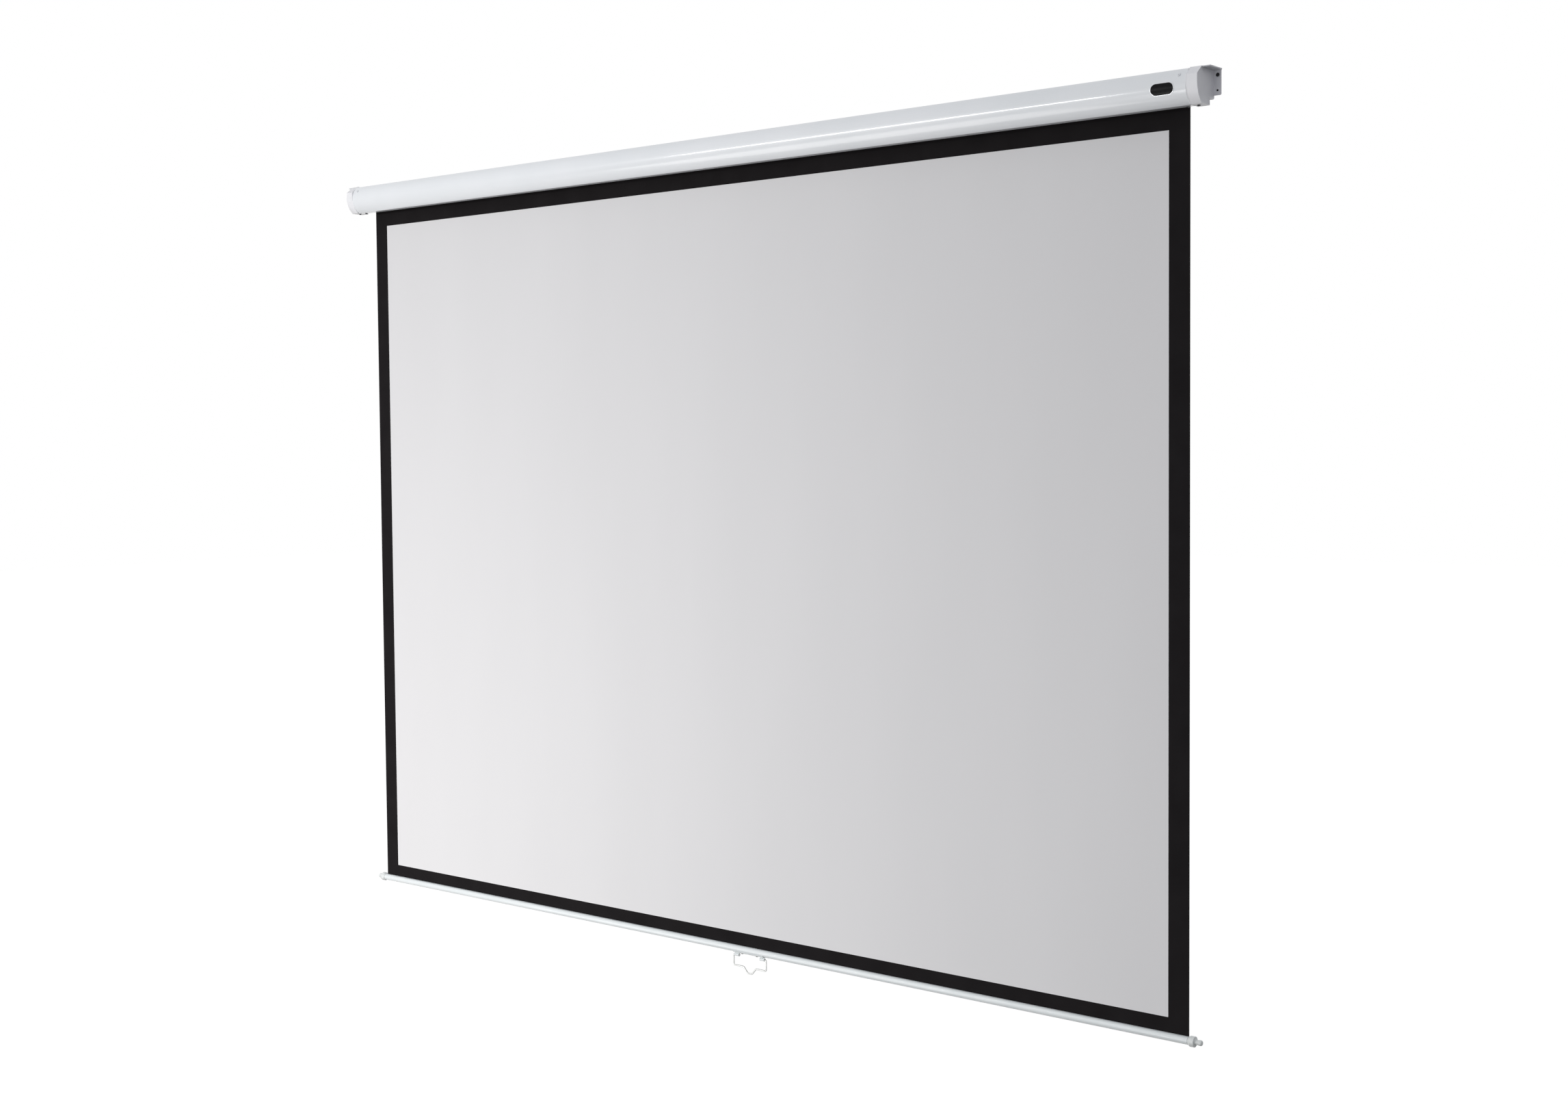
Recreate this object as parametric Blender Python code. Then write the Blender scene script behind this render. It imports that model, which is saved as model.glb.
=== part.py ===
"""Wall-hung pull down projector screen, drawn down to its full length.

Metres, +Z up. The origin lies on the wall, midway between the end caps, at half the caps' height.
+X runs along the casing and the viewer stands at -Y.
"""

import math

import bmesh
import bpy
import numpy as np
from mathutils import Matrix, Vector

# Clearances
FIT_GAP = 0.0003
SLIDE_GAP = 0.0006

# Edges sharper than this angle, in degrees, stay crisp
SHARP_ANGLE = 35

# Screen cloth
CLOTH_HALF_WIDTH = 1.2000
CLOTH_THICKNESS = 0.0004
SIDE_BORDER = 0.0450
IMAGE_HEIGHT = 1.7110
TOP_BORDER = 0.0350
BOTTOM_BORDER = 0.0300
COATING_THICKNESS = 0.00015

# Casing: a rolled shell with a round front, flat top, back and bottom, and a slot at the back of the bottom
CASING_PAST_ROLLER = 0.0200
CASING_WALL = 0.0012
CASING_FRONT_RADIUS = 0.0400
CASING_ARC_Y = -0.0305
CASING_ARC_Z = 0.0010
CASING_TOP_Z = 0.0325
CASING_BOTTOM_Z = -0.0350
CASING_BACK_Y = -0.0025
CASING_BACK_EDGE_Z = -0.0160
CASING_CORNER_RADIUS = 0.0035
SLOT_LIP_Y = -0.0315
SLOT_HEM_HEIGHT = 0.0040

# End caps: white mouldings that plug into the casing, each with a notch that takes the bar's end pin
CAP_BAND = 0.0200
CAP_WALL = 0.0022
CAP_WEB = 0.0022
CAP_SEAM_WALL = 0.0020
CAP_TOP_Z = 0.0350
CAP_FRONT_Y = -0.0709
CAP_FRONT_RADIUS = 0.0514
CAP_FRONT_ARC_Z = 0.0050
CAP_CHAMFER_TOP_Y = -0.0514
CAP_CHAMFER_LOW_Y = -0.0706
CAP_CHAMFER_LOW_Z = 0.0188
CAP_BACK_Y = -0.0028
NOTCH_FRONT_Y = -0.0187
NOTCH_TOP_Z = -0.0220
SPIGOT_LENGTH = 0.0210
SPIGOT_WALL = 0.0016
SPIGOT_BACK_EDGE_Z = -0.0100

# Steel brackets: a side plate in each cap's outer face, with a wall tab and a top flange bent outwards
BRACKET_STEEL = 0.0025
BRACKET_RIM = 0.0022
RIM_PROUD = 0.0006
TAB_WIDTH = 0.0150
TAB_BOTTOM_Z = -0.0144
TAB_CORNER_RADIUS = 0.0030
FLANGE_WIDTH = 0.0162
HOLE_EDGE_DISTANCE = 0.0072
UPPER_HOLE_Z = 0.0236
UPPER_HOLE_RADIUS = 0.0031
UPPER_SINK_RADIUS = 0.0058
UPPER_SINK_DEPTH = 0.0014
LOWER_HOLE_Z = -0.0054
LOWER_HOLE_RADIUS = 0.0022

# Roller
ROLLER_Y = -0.0305
ROLLER_Z = 0.0030
ROLLER_RADIUS = 0.0190
ROLLER_WALL = 0.0010
ROLLER_PAST_CLOTH = 0.0015
KEYWAY_WIDTH = 0.0050
KEYWAY_DEPTH = 0.0030
KEY_ROD_RADIUS = 0.0013
KEY_ROD_SHORTFALL = 0.0050
WRAP_THICKNESS = 0.0013
PLUG_DEPTH = 0.0260
PLUG_FLANGE = 0.0032
PLUG_FLANGE_RADIUS = 0.0195

# Spindle, spring and lock, at the right end
SPINDLE_RADIUS = 0.0040
SPINDLE_BORE_RADIUS = 0.0044
SPINDLE_TAIL = 0.0080
SPINDLE_FLAT_LENGTH = 0.0130
SPINDLE_FLAT = 0.0028
BEARING_DEPTH = 0.0128
BEARING_HALF_WIDTH = 0.0092
SPRING_MEAN_RADIUS = 0.0110
SPRING_WIRE_RADIUS = 0.0011
SPRING_TURNS = 18
SPRING_STEPS = 10
SPRING_LENGTH = 0.1100
SPRING_BEND_RADIUS = 0.0028
SPRING_TAIL = 0.0070
ANCHOR_LENGTH = 0.0155
ANCHOR_RADIUS = 0.0140
ANCHOR_TO_PLUG = 0.0055
SPRING_PLUG_LENGTH = 0.0300
SPRING_HUB_LENGTH = 0.0140
CLIP_RADIUS = 0.0065
CLIP_THICKNESS = 0.0012
RATCHET_RADIUS = 0.0090
RATCHET_LENGTH = 0.0060
RATCHET_GAP = 0.0035
PAWL_PIVOT = (0.0060, 0.0125)
PAWL_REACH = (-0.0100, -0.0005)
PAWL_SWING = 25.0
PAWL_EYE_RADIUS = 0.0032
PAWL_NOSE_RADIUS = 0.0016
PAWL_BORE_RADIUS = 0.0016
PAWL_PIN_RADIUS = 0.0013
PAWL_THICKNESS = 0.0050
PAWL_PIN_HEAD_RADIUS = 0.0025
PAWL_PIN_HEAD = 0.0012
PAWL_PIN_ROOT = 0.0130

# Idle pin, at the left end
IDLE_PIN_LENGTH = 0.0570

# Bottom bar
BAR_RADIUS = 0.0080
BAR_WALL = 0.0015
BAR_AHEAD_OF_CLOTH = 0.0030
BAR_SLOT_HALF_ANGLE = 9.0
CLOTH_IN_BAR = 0.0040
HEM_ROD_RADIUS = 0.0020
BAR_PLUG_DEPTH = 0.0140
COLLAR_RADIUS = 0.0105
COLLAR_LENGTH = 0.0140
COLLAR_FLARE = 0.0040
PIN_NECK_RADIUS = 0.0049
PIN_KNOB_RADIUS = 0.0055
PIN_LENGTH = 0.0150
PIN_NECK_LENGTH = 0.0075
PIN_TIP_RADIUS = 0.0030
TURNED_EDGE = 0.0007

# Pull handle and the saddle that carries it
HANDLE_X = 0.0887
HANDLE_DROP = 0.0143
HANDLE_HALF_WIDTH = 0.0484
HANDLE_LEG = 0.0252
HANDLE_WIRE_RADIUS = 0.00185
HANDLE_BEND_RADIUS = 0.0034
HANDLE_END_LENGTH = 0.0174
DIP_TOP_HALF_WIDTH = 0.0185
DIP_BOTTOM_HALF_WIDTH = 0.0062
DIP_DEPTH = 0.0137
SADDLE_STEEL = 0.0011
SADDLE_HALF_ANGLE = 58.0
LUG_LENGTH = 0.0135
LUG_RADIUS = 0.0034
LUG_NECK_HALF_WIDTH = 0.0016
RIVET_X = 0.0220
RIVET_HEAD_RADIUS = 0.0030
RIVET_CROWN_RADIUS = 0.0012
RIVET_HEAD = 0.0014
RIVET_SHANK_RADIUS = 0.0013

# Badge
BADGE_INSET = 0.0493
BADGE_Z = -0.0028
BADGE_HALF_LENGTH = 0.0245
BADGE_HALF_HEIGHT = 0.0115
BADGE_THICKNESS = 0.0008

# Screws
SCREW_HEAD_RADIUS = 0.0032
SCREW_CROWN_RADIUS = 0.0018
SCREW_HEAD = 0.0016
SCREW_EDGE = 0.0007
SCREW_SHANK_RADIUS = 0.0014
CASING_SCREW_INSET = 0.0162
CASING_SCREW_ANGLE = 151.8
CASING_SCREW_LENGTH = 0.0050
FLOOR_SCREW_INSET = 0.0135
FLOOR_SCREW_SETBACK = 0.0040
FLOOR_SCREW_LENGTH = 0.0050
CAP_SCREW_INSET = 0.0100
CAP_SCREW_Y = -0.0370
CAP_SCREW_LENGTH = 0.0120

# Sizes and places that follow from the ones above
IMAGE_HALF_WIDTH = CLOTH_HALF_WIDTH - SIDE_BORDER
KEY_ROD_HALF_LENGTH = CLOTH_HALF_WIDTH - KEY_ROD_SHORTFALL
ROLLER_HALF_LENGTH = CLOTH_HALF_WIDTH + ROLLER_PAST_CLOTH
SEAM_X = ROLLER_HALF_LENGTH + CASING_PAST_ROLLER
BADGE_X = SEAM_X - BADGE_INSET
WRAP_RADIUS = ROLLER_RADIUS + FIT_GAP + WRAP_THICKNESS
CLOTH_Y = ROLLER_Y + WRAP_RADIUS + FIT_GAP + CLOTH_THICKNESS / 2
IMAGE_TOP_Z = CASING_BOTTOM_Z - TOP_BORDER
IMAGE_BOTTOM_Z = IMAGE_TOP_Z - IMAGE_HEIGHT
BAR_Y = CLOTH_Y - BAR_AHEAD_OF_CLOTH
BAR_SLOT_RISE = math.sqrt(BAR_RADIUS ** 2 - BAR_AHEAD_OF_CLOTH ** 2)
BAR_Z = IMAGE_BOTTOM_Z - BOTTOM_BORDER - BAR_SLOT_RISE
CLOTH_BOTTOM_Z = BAR_Z + BAR_SLOT_RISE - CLOTH_IN_BAR
HANDLE_Z = BAR_Z - HANDLE_DROP
WEB_OUTER_X = SEAM_X + CAP_BAND
WEB_INNER_X = WEB_OUTER_X - CAP_WEB
PLATE_INNER_X = WEB_OUTER_X + FIT_GAP
PLATE_OUTER_X = PLATE_INNER_X + BRACKET_STEEL
CAP_OUTER_X = PLATE_OUTER_X + RIM_PROUD
BEARING_OUTER_X = WEB_INNER_X - FIT_GAP
BEARING_INNER_X = BEARING_OUTER_X - BEARING_DEPTH
SPINDLE_END_X = BEARING_OUTER_X - 2 * FIT_GAP
FLANGE_INNER_X = ROLLER_HALF_LENGTH + FIT_GAP
FLANGE_OUTER_X = FLANGE_INNER_X + PLUG_FLANGE
PLUG_INNER_X = ROLLER_HALF_LENGTH - PLUG_DEPTH
PLUG_RADIUS = ROLLER_RADIUS - ROLLER_WALL - FIT_GAP
RATCHET_X = FLANGE_OUTER_X + RATCHET_GAP
ANCHOR_X = PLUG_INNER_X - ANCHOR_TO_PLUG - ANCHOR_LENGTH
SPRING_START_X = ANCHOR_X - SPRING_LENGTH
HUB_X = SPRING_START_X - SPRING_WIRE_RADIUS
SPRING_PLUG_X = HUB_X - SPRING_PLUG_LENGTH
CLIP_X = SPRING_PLUG_X - FIT_GAP - CLIP_THICKNESS
SPINDLE_START_X = CLIP_X - SPINDLE_TAIL
SPRING_BORE_RADIUS = SPRING_MEAN_RADIUS * math.cos(math.pi / SPRING_STEPS) - SPRING_WIRE_RADIUS
SPRING_HUB_RADIUS = SPRING_BORE_RADIUS - FIT_GAP
BAR_HALF_LENGTH = CLOTH_HALF_WIDTH + FIT_GAP
COLLAR_X = BAR_HALF_LENGTH + FIT_GAP
HEM_ROD_HALF_LENGTH = COLLAR_X - BAR_PLUG_DEPTH - 2 * FIT_GAP
CASING_SCREW_X = SEAM_X - CASING_SCREW_INSET
FLOOR_SCREW_X = SEAM_X - FLOOR_SCREW_INSET
CAP_SCREW_X = SEAM_X + CAP_SCREW_INSET
SPIGOT_DEPTH = CASING_WALL + FIT_GAP


def clear_scene():
    for old in list(bpy.data.objects):
        bpy.data.objects.remove(old)


def surface(name, colour, roughness, metallic=0.0):
    """A plain finish with the part's colour, as linear RGB."""
    made = bpy.data.materials.new(name)
    made.use_nodes = True
    shader = made.node_tree.nodes["Principled BSDF"]
    shader.inputs["Base Color"].default_value = (*colour, 1.0)
    shader.inputs["Roughness"].default_value = roughness
    shader.inputs["Metallic"].default_value = metallic
    made.diffuse_color = (*colour, 1.0)
    return made


def empty(name, location):
    """A joint's axis or a fixed point that pieces are placed from."""
    made = bpy.data.objects.new(name, None)
    made.location = location
    bpy.context.scene.collection.objects.link(made)
    return made


def finish_mesh(bm, name, parent, material, location=(0, 0, 0), side=1, smooth=True):
    """Turns a bmesh into an object; side -1 mirrors it to the left end."""
    bmesh.ops.remove_doubles(bm, verts=bm.verts, dist=1e-7)
    if side < 0:
        bmesh.ops.scale(bm, vec=(-1, 1, 1), verts=bm.verts)
    bmesh.ops.recalc_face_normals(bm, faces=bm.faces)
    mesh = bpy.data.meshes.new(name)
    bm.to_mesh(mesh)
    bm.free()
    if smooth:
        mesh.shade_smooth()
        mesh.set_sharp_from_angle(angle=math.radians(SHARP_ANGLE))
    made = bpy.data.objects.new(name, mesh)
    made.location = (side * location[0], location[1], location[2])
    made.parent = parent
    bpy.context.scene.collection.objects.link(made)
    if material is None:
        made.display_type = "WIRE"
        made.hide_render = True
    else:
        mesh.materials.append(material)
    return made


def arc(centre_y, centre_z, radius, start, end, steps):
    """Points on a circle in the YZ plane, with angles in degrees from +Y towards +Z."""
    points = []
    for i in range(steps + 1):
        angle = math.radians(start + (end - start) * i / steps)
        points.append((centre_y + radius * math.cos(angle), centre_z + radius * math.sin(angle)))
    return points


def circle(centre_y, centre_z, radius, steps):
    return arc(centre_y, centre_z, radius, 0, 360, steps)[:-1]


def inset_outline(points, distance):
    """A closed anticlockwise outline moved inwards by a distance, with mitred corners."""
    moved = []
    for before, here, after in zip(points[-1:] + points[:-1], points, points[1:] + points[:1]):
        normals = []
        for one, two in ((before, here), (here, after)):
            run = (Vector(two) - Vector(one)).normalized()
            normals.append(Vector((-run.y, run.x)))
        mitre = (normals[0] + normals[1]).normalized()
        moved.append(tuple(Vector(here) + mitre * distance / mitre.dot(normals[0])))
    return moved


def extruded(points, along):
    """A bmesh: a flat outline of points in space, drawn out along a vector."""
    bm = bmesh.new()
    face = bm.faces.new([bm.verts.new(point) for point in points])
    grown = bmesh.ops.extrude_face_region(bm, geom=[face])
    moved = [part for part in grown["geom"] if isinstance(part, bmesh.types.BMVert)]
    bmesh.ops.translate(bm, vec=along, verts=moved)
    return bm


def prism(outline, start, end):
    """A bmesh: an outline of (y, z) points drawn out along X."""
    return extruded([(start, y, z) for y, z in outline], (end - start, 0, 0))


def slab(outline, start, end):
    """A bmesh: an outline of (x, z) points drawn out along Y."""
    return extruded([(x, start, z) for x, z in outline], (0, end - start, 0))


def ring_prism(outer, inner, start, end):
    """A bmesh: the space between two loops with as many points each, extruded along X."""
    bm = bmesh.new()
    loops = []
    for loop, x in ((outer, start), (outer, end), (inner, end), (inner, start)):
        loops.append([bm.verts.new((x, y, z)) for y, z in loop])
    count = len(outer)
    for one, other in zip(loops, loops[1:] + loops[:1]):
        for i in range(count):
            j = (i + 1) % count
            bm.faces.new((one[i], one[j], other[j], other[i]))
    return bm


def turned(profile, steps=24, closed=False):
    """A bmesh: a profile of (x, radius) points spun about the X axis."""
    bm = bmesh.new()
    rim = [bm.verts.new((x, radius, 0)) for x, radius in profile]
    pairs = list(zip(rim, rim[1:]))
    if closed:
        pairs.append((rim[-1], rim[0]))
    edges = [bm.edges.new(pair) for pair in pairs]
    bmesh.ops.spin(bm, geom=rim + edges, cent=(0, 0, 0), axis=(1, 0, 0), dvec=(0, 0, 0),
                   angle=math.tau, steps=steps, use_merge=True, use_duplicate=False)
    bmesh.ops.remove_doubles(bm, verts=bm.verts, dist=1e-6)
    return bm


def rod(start, end, radius, steps=24):
    return turned([(start, 0), (start, radius), (end, radius), (end, 0)], steps)


def bushing(start, end, outer, inner, steps=24):
    return turned([(start, inner), (start, outer), (end, outer), (end, inner)], steps, closed=True)


def block(low, high):
    """A bmesh: a box from its lowest to its highest corner."""
    bm = bmesh.new()
    bmesh.ops.create_cube(bm, size=1.0)
    size = Vector(high) - Vector(low)
    bmesh.ops.scale(bm, vec=size, verts=bm.verts)
    bmesh.ops.translate(bm, vec=(Vector(high) + Vector(low)) / 2, verts=bm.verts)
    return bm


def turn(bm, direction, at):
    """Turns a bmesh made along +X to point along a direction, and moves it to a point."""
    facing = Vector((1, 0, 0)).rotation_difference(Vector(direction).normalized())
    bmesh.ops.transform(bm, matrix=Matrix.Translation(at) @ facing.to_matrix().to_4x4(), verts=bm.verts)
    return bm


def boolean(target, tool, operation="DIFFERENCE"):
    made = target.modifiers.new(tool.name, "BOOLEAN")
    made.operation = operation
    made.solver = "EXACT"
    made.object = tool


def cutter(bm, name, parent, location=(0, 0, 0), side=1):
    return finish_mesh(bm, "cut_" + name, parent, None, location, side)


def casing_line(depth, back_edge_z, slot_edge_y):
    """The casing's section at a depth below its outer face, from the back edge round to the slot."""
    radius = CASING_FRONT_RADIUS - depth
    corner = max(CASING_CORNER_RADIUS - depth, FIT_GAP)
    back = CASING_BACK_Y - depth
    top = CASING_TOP_Z - depth
    bottom = CASING_BOTTOM_Z + depth
    rise = math.degrees(math.asin((top - CASING_ARC_Z) / radius))
    fall = math.degrees(math.asin((CASING_ARC_Z - bottom) / radius))
    line = [(back, back_edge_z)]
    line += arc(back - corner, top - corner, corner, 0, 90, 4)
    line += arc(CASING_ARC_Y, CASING_ARC_Z, radius, 180 - rise, 180 + fall, 16)
    line.append((slot_edge_y, bottom))
    return line


def cap_outline():
    """The end cap's outline, anticlockwise from the back of the notch."""
    arc_y = CAP_FRONT_Y + CAP_FRONT_RADIUS
    low = math.degrees(math.asin((CAP_FRONT_ARC_Z - CASING_BOTTOM_Z) / CAP_FRONT_RADIUS))
    outline = [(CAP_BACK_Y, NOTCH_TOP_Z), (CAP_BACK_Y, CAP_TOP_Z), (CAP_CHAMFER_TOP_Y, CAP_TOP_Z),
               (CAP_CHAMFER_LOW_Y, CAP_CHAMFER_LOW_Z)]
    outline += arc(arc_y, CAP_FRONT_ARC_Z, CAP_FRONT_RADIUS, 180, 180 + low, 10)
    outline += [(NOTCH_FRONT_Y, CASING_BOTTOM_Z), (NOTCH_FRONT_Y, NOTCH_TOP_Z)]
    return outline


def plate_outline(rim, top, back):
    """The bracket's side plate: the cap's outline less its rim, run out through the top and back."""
    inset = inset_outline(cap_outline(), rim)
    slope_end = Vector(inset[2])
    slope = Vector(inset[3]) - slope_end
    run_out = slope_end + slope * ((top - slope_end.y) / slope.y)
    inset[0] = (back, inset[0][1])
    inset[1] = (back, top)
    inset[2] = tuple(run_out)
    return inset


def keyed_circle(radius, keyway_half_width, keyway_radius, steps=30):
    """A circle with a square keyway on its -Y side, anticlockwise."""
    half = math.degrees(math.asin(keyway_half_width / radius))
    points = arc(0, 0, radius, 180 + half, 540 - half, steps)
    points += [(-keyway_radius, keyway_half_width), (-keyway_radius, -keyway_half_width)]
    return points


def casing_screw_direction():
    angle = math.radians(CASING_SCREW_ANGLE)
    return Vector((0, math.cos(angle), math.sin(angle)))


def screw(name, parent, material, at, inwards, length, side):
    """A pan head screw whose head stands a fit gap off the surface at a point."""
    profile = [(-SCREW_HEAD, 0), (-SCREW_HEAD, SCREW_CROWN_RADIUS), (-SCREW_EDGE, SCREW_HEAD_RADIUS),
               (0, SCREW_HEAD_RADIUS), (0, SCREW_SHANK_RADIUS), (length, SCREW_SHANK_RADIUS), (length, 0)]
    bm = turn(turned(profile, 16), inwards, Vector(at) - Vector(inwards) * FIT_GAP)
    finish_mesh(bm, name, parent, material, side=side)


def screw_hole(name, parent, at, inwards, length, side):
    """The clearance hole for such a screw, run out past both faces."""
    bm = turn(rod(-length, length + FIT_GAP, SCREW_SHANK_RADIUS + FIT_GAP, 16), inwards, at)
    return cutter(bm, name, parent, side=side)


def make_casing(wall, finish):
    """The long shell, folded up into a hem along the slot's front edge."""
    hem_z = CASING_BOTTOM_Z + SLOT_HEM_HEIGHT
    outer = casing_line(0, CASING_BACK_EDGE_Z, SLOT_LIP_Y) + [(SLOT_LIP_Y, hem_z)]
    hem_y = SLOT_LIP_Y - CASING_WALL
    inner = casing_line(CASING_WALL, CASING_BACK_EDGE_Z, hem_y) + [(hem_y, hem_z)]
    return finish_mesh(prism(outer + inner[::-1], FIT_GAP - SEAM_X, SEAM_X - FIT_GAP), "casing_shell", wall,
                       finish["casing"])


def make_badge(wall, finish):
    """The bare pill-shaped plate, curved to the casing's front and trimmed to its round ends."""
    middle = 180 - math.degrees(math.asin((BADGE_Z - CASING_ARC_Z) / CASING_FRONT_RADIUS))
    half = math.degrees(math.asin((BADGE_HALF_HEIGHT + BADGE_THICKNESS) / CASING_FRONT_RADIUS))
    inner = CASING_FRONT_RADIUS + FIT_GAP
    strip = arc(CASING_ARC_Y, CASING_ARC_Z, inner, middle + half, middle - half, 8)
    strip += arc(CASING_ARC_Y, CASING_ARC_Z, inner + BADGE_THICKNESS, middle - half, middle + half, 8)
    reach = BADGE_HALF_LENGTH + FIT_GAP
    badge = finish_mesh(prism(strip, BADGE_X - reach, BADGE_X + reach), "badge_plate", wall, finish["badge"])
    straight = BADGE_HALF_LENGTH - BADGE_HALF_HEIGHT
    pill = arc(BADGE_X + straight, BADGE_Z, BADGE_HALF_HEIGHT, -90, 90, 10)
    pill += arc(BADGE_X - straight, BADGE_Z, BADGE_HALF_HEIGHT, 90, 270, 10)
    front = CASING_ARC_Y - inner - 2 * BADGE_THICKNESS
    boolean(badge, cutter(slab(pill, front, CASING_ARC_Y), "badge_pill", wall), "INTERSECT")


def make_end_cap(name, side, wall, finish):
    """A hollow moulding: a band outside the casing, a spigot inside it and a web behind the bracket."""
    cap = finish_mesh(prism(cap_outline(), SEAM_X, CAP_OUTER_X), "end_cap_" + name, wall, finish["cap"],
                      side=side)
    slot_edge = SLOT_LIP_Y - SPIGOT_DEPTH
    outer = casing_line(SPIGOT_DEPTH, SPIGOT_BACK_EDGE_Z, slot_edge)
    inner = casing_line(SPIGOT_DEPTH + SPIGOT_WALL, SPIGOT_BACK_EDGE_Z, slot_edge)
    spigot = prism(outer + inner[::-1], SEAM_X - SPIGOT_LENGTH, SEAM_X + CAP_SEAM_WALL / 2)
    boolean(cap, cutter(spigot, "spigot_" + name, wall, side=side), "UNION")
    mouth = casing_line(SPIGOT_DEPTH + SPIGOT_WALL + FIT_GAP, SPIGOT_BACK_EDGE_Z, slot_edge)
    mouth_tool = prism(mouth, SEAM_X - CAP_SEAM_WALL, SEAM_X + CAP_SEAM_WALL + FIT_GAP)
    boolean(cap, cutter(mouth_tool, "mouth_" + name, wall, side=side))
    hollow = prism(inset_outline(cap_outline(), CAP_WALL), SEAM_X + CAP_SEAM_WALL, WEB_INNER_X)
    boolean(cap, cutter(hollow, "hollow_" + name, wall, side=side))
    recess = prism(plate_outline(BRACKET_RIM - FIT_GAP, CAP_TOP_Z + CAP_WALL, CAP_BACK_Y + CAP_WALL),
                   WEB_OUTER_X, CAP_OUTER_X + CAP_WALL)
    boolean(cap, cutter(recess, "recess_" + name, wall, side=side))
    return cap


def make_bracket(name, side, wall, finish):
    """Folded steel: a side plate, a tab screwed to the wall and a top flange, all in one piece."""
    plate = plate_outline(BRACKET_RIM, CAP_TOP_Z, 0)
    bracket = finish_mesh(prism(plate, PLATE_INNER_X, PLATE_OUTER_X), "bracket_" + name, wall,
                          finish["bracket"], side=side)
    root = PLATE_OUTER_X - BRACKET_STEEL / 2
    front = plate[2][0]
    under = CAP_TOP_Z - BRACKET_STEEL
    flange = block((root, front, under), (PLATE_OUTER_X + FLANGE_WIDTH, 0, CAP_TOP_Z))
    boolean(bracket, cutter(flange, "flange_" + name, wall, side=side), "UNION")
    boolean(bracket, cutter(wall_tab(root), "tab_" + name, wall, side=side), "UNION")
    hole_x = PLATE_OUTER_X + TAB_WIDTH - HOLE_EDGE_DISTANCE
    through = 2 * BRACKET_STEEL
    sink = [(-BRACKET_STEEL, 0), (-BRACKET_STEEL, UPPER_SINK_RADIUS), (0, UPPER_SINK_RADIUS),
            (UPPER_SINK_DEPTH, UPPER_HOLE_RADIUS), (through, UPPER_HOLE_RADIUS), (through, 0)]
    upper = turn(turned(sink, 20), (0, 1, 0), (hole_x, -BRACKET_STEEL, UPPER_HOLE_Z))
    boolean(bracket, cutter(upper, "upper_hole_" + name, wall, side=side))
    lower = rod(-BRACKET_STEEL, through, LOWER_HOLE_RADIUS, 16)
    turn(lower, (0, 1, 0), (hole_x, -BRACKET_STEEL, LOWER_HOLE_Z))
    boolean(bracket, cutter(lower, "lower_hole_" + name, wall, side=side))


def wall_tab(root):
    """A bmesh: the tab's plate against the wall, with its lower outer corner rounded."""
    outer = PLATE_OUTER_X + TAB_WIDTH
    top = CAP_TOP_Z - BRACKET_STEEL / 2
    outline = [(root, top), (root, TAB_BOTTOM_Z)]
    outline += arc(outer - TAB_CORNER_RADIUS, TAB_BOTTOM_Z + TAB_CORNER_RADIUS, TAB_CORNER_RADIUS, -90, 0, 5)
    outline.append((outer, top))
    return slab(outline, -BRACKET_STEEL, 0)


def make_bearing_block(name, side, wall, finish):
    """The moulded block that stands on the cap's floor and carries one end of the roller."""
    at = (0, ROLLER_Y, ROLLER_Z)
    floor = CASING_BOTTOM_Z + CAP_WALL + FIT_GAP - ROLLER_Z
    outline = [(-BEARING_HALF_WIDTH, floor), (BEARING_HALF_WIDTH, floor)]
    outline += arc(0, 0, BEARING_HALF_WIDTH, 0, 180, 12)
    bearing = finish_mesh(prism(outline, BEARING_INNER_X, BEARING_OUTER_X), "bearing_block_" + name, wall,
                          finish["moulding"], at, side)
    start = BEARING_INNER_X - FIT_GAP
    end = BEARING_OUTER_X + FIT_GAP
    if side > 0:
        across = SPINDLE_FLAT + FIT_GAP
        bore = block((start, -SPINDLE_BORE_RADIUS, -across), (end, SPINDLE_BORE_RADIUS, across))
    else:
        bore = rod(start, end, SPINDLE_BORE_RADIUS)
    boolean(bearing, cutter(bore, "bearing_bore_" + name, wall, at, side))
    return bearing


def make_fasteners(name, side, wall, finish, shell, cap, bearing):
    """The three screws at one end, each with its hole through what it holds."""
    front = casing_screw_direction()
    up = Vector((0, 0, 1))
    arc_centre = Vector((CASING_SCREW_X, CASING_ARC_Y, CASING_ARC_Z))
    floor = Vector((FLOOR_SCREW_X, SLOT_LIP_Y - FLOOR_SCREW_SETBACK, CASING_BOTTOM_Z))
    cap_floor = Vector((CAP_SCREW_X, CAP_SCREW_Y, CASING_BOTTOM_Z))
    face = arc_centre + front * CASING_FRONT_RADIUS
    fixings = (
        ("casing_screw_", "casing", face, -front, CASING_SCREW_LENGTH, (shell, cap)),
        ("casing_floor_screw_", "black", floor, up, FLOOR_SCREW_LENGTH, (shell, cap)),
        ("cap_floor_screw_", "black", cap_floor, up, CAP_SCREW_LENGTH, (cap, bearing)),
    )
    for kind, material, point, inwards, length, held in fixings:
        screw(kind + name, wall, finish[material], point, inwards, length, side)
        hole = screw_hole(kind + "hole_" + name, wall, point, inwards, length, side)
        for piece in held:
            boolean(piece, hole)


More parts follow.
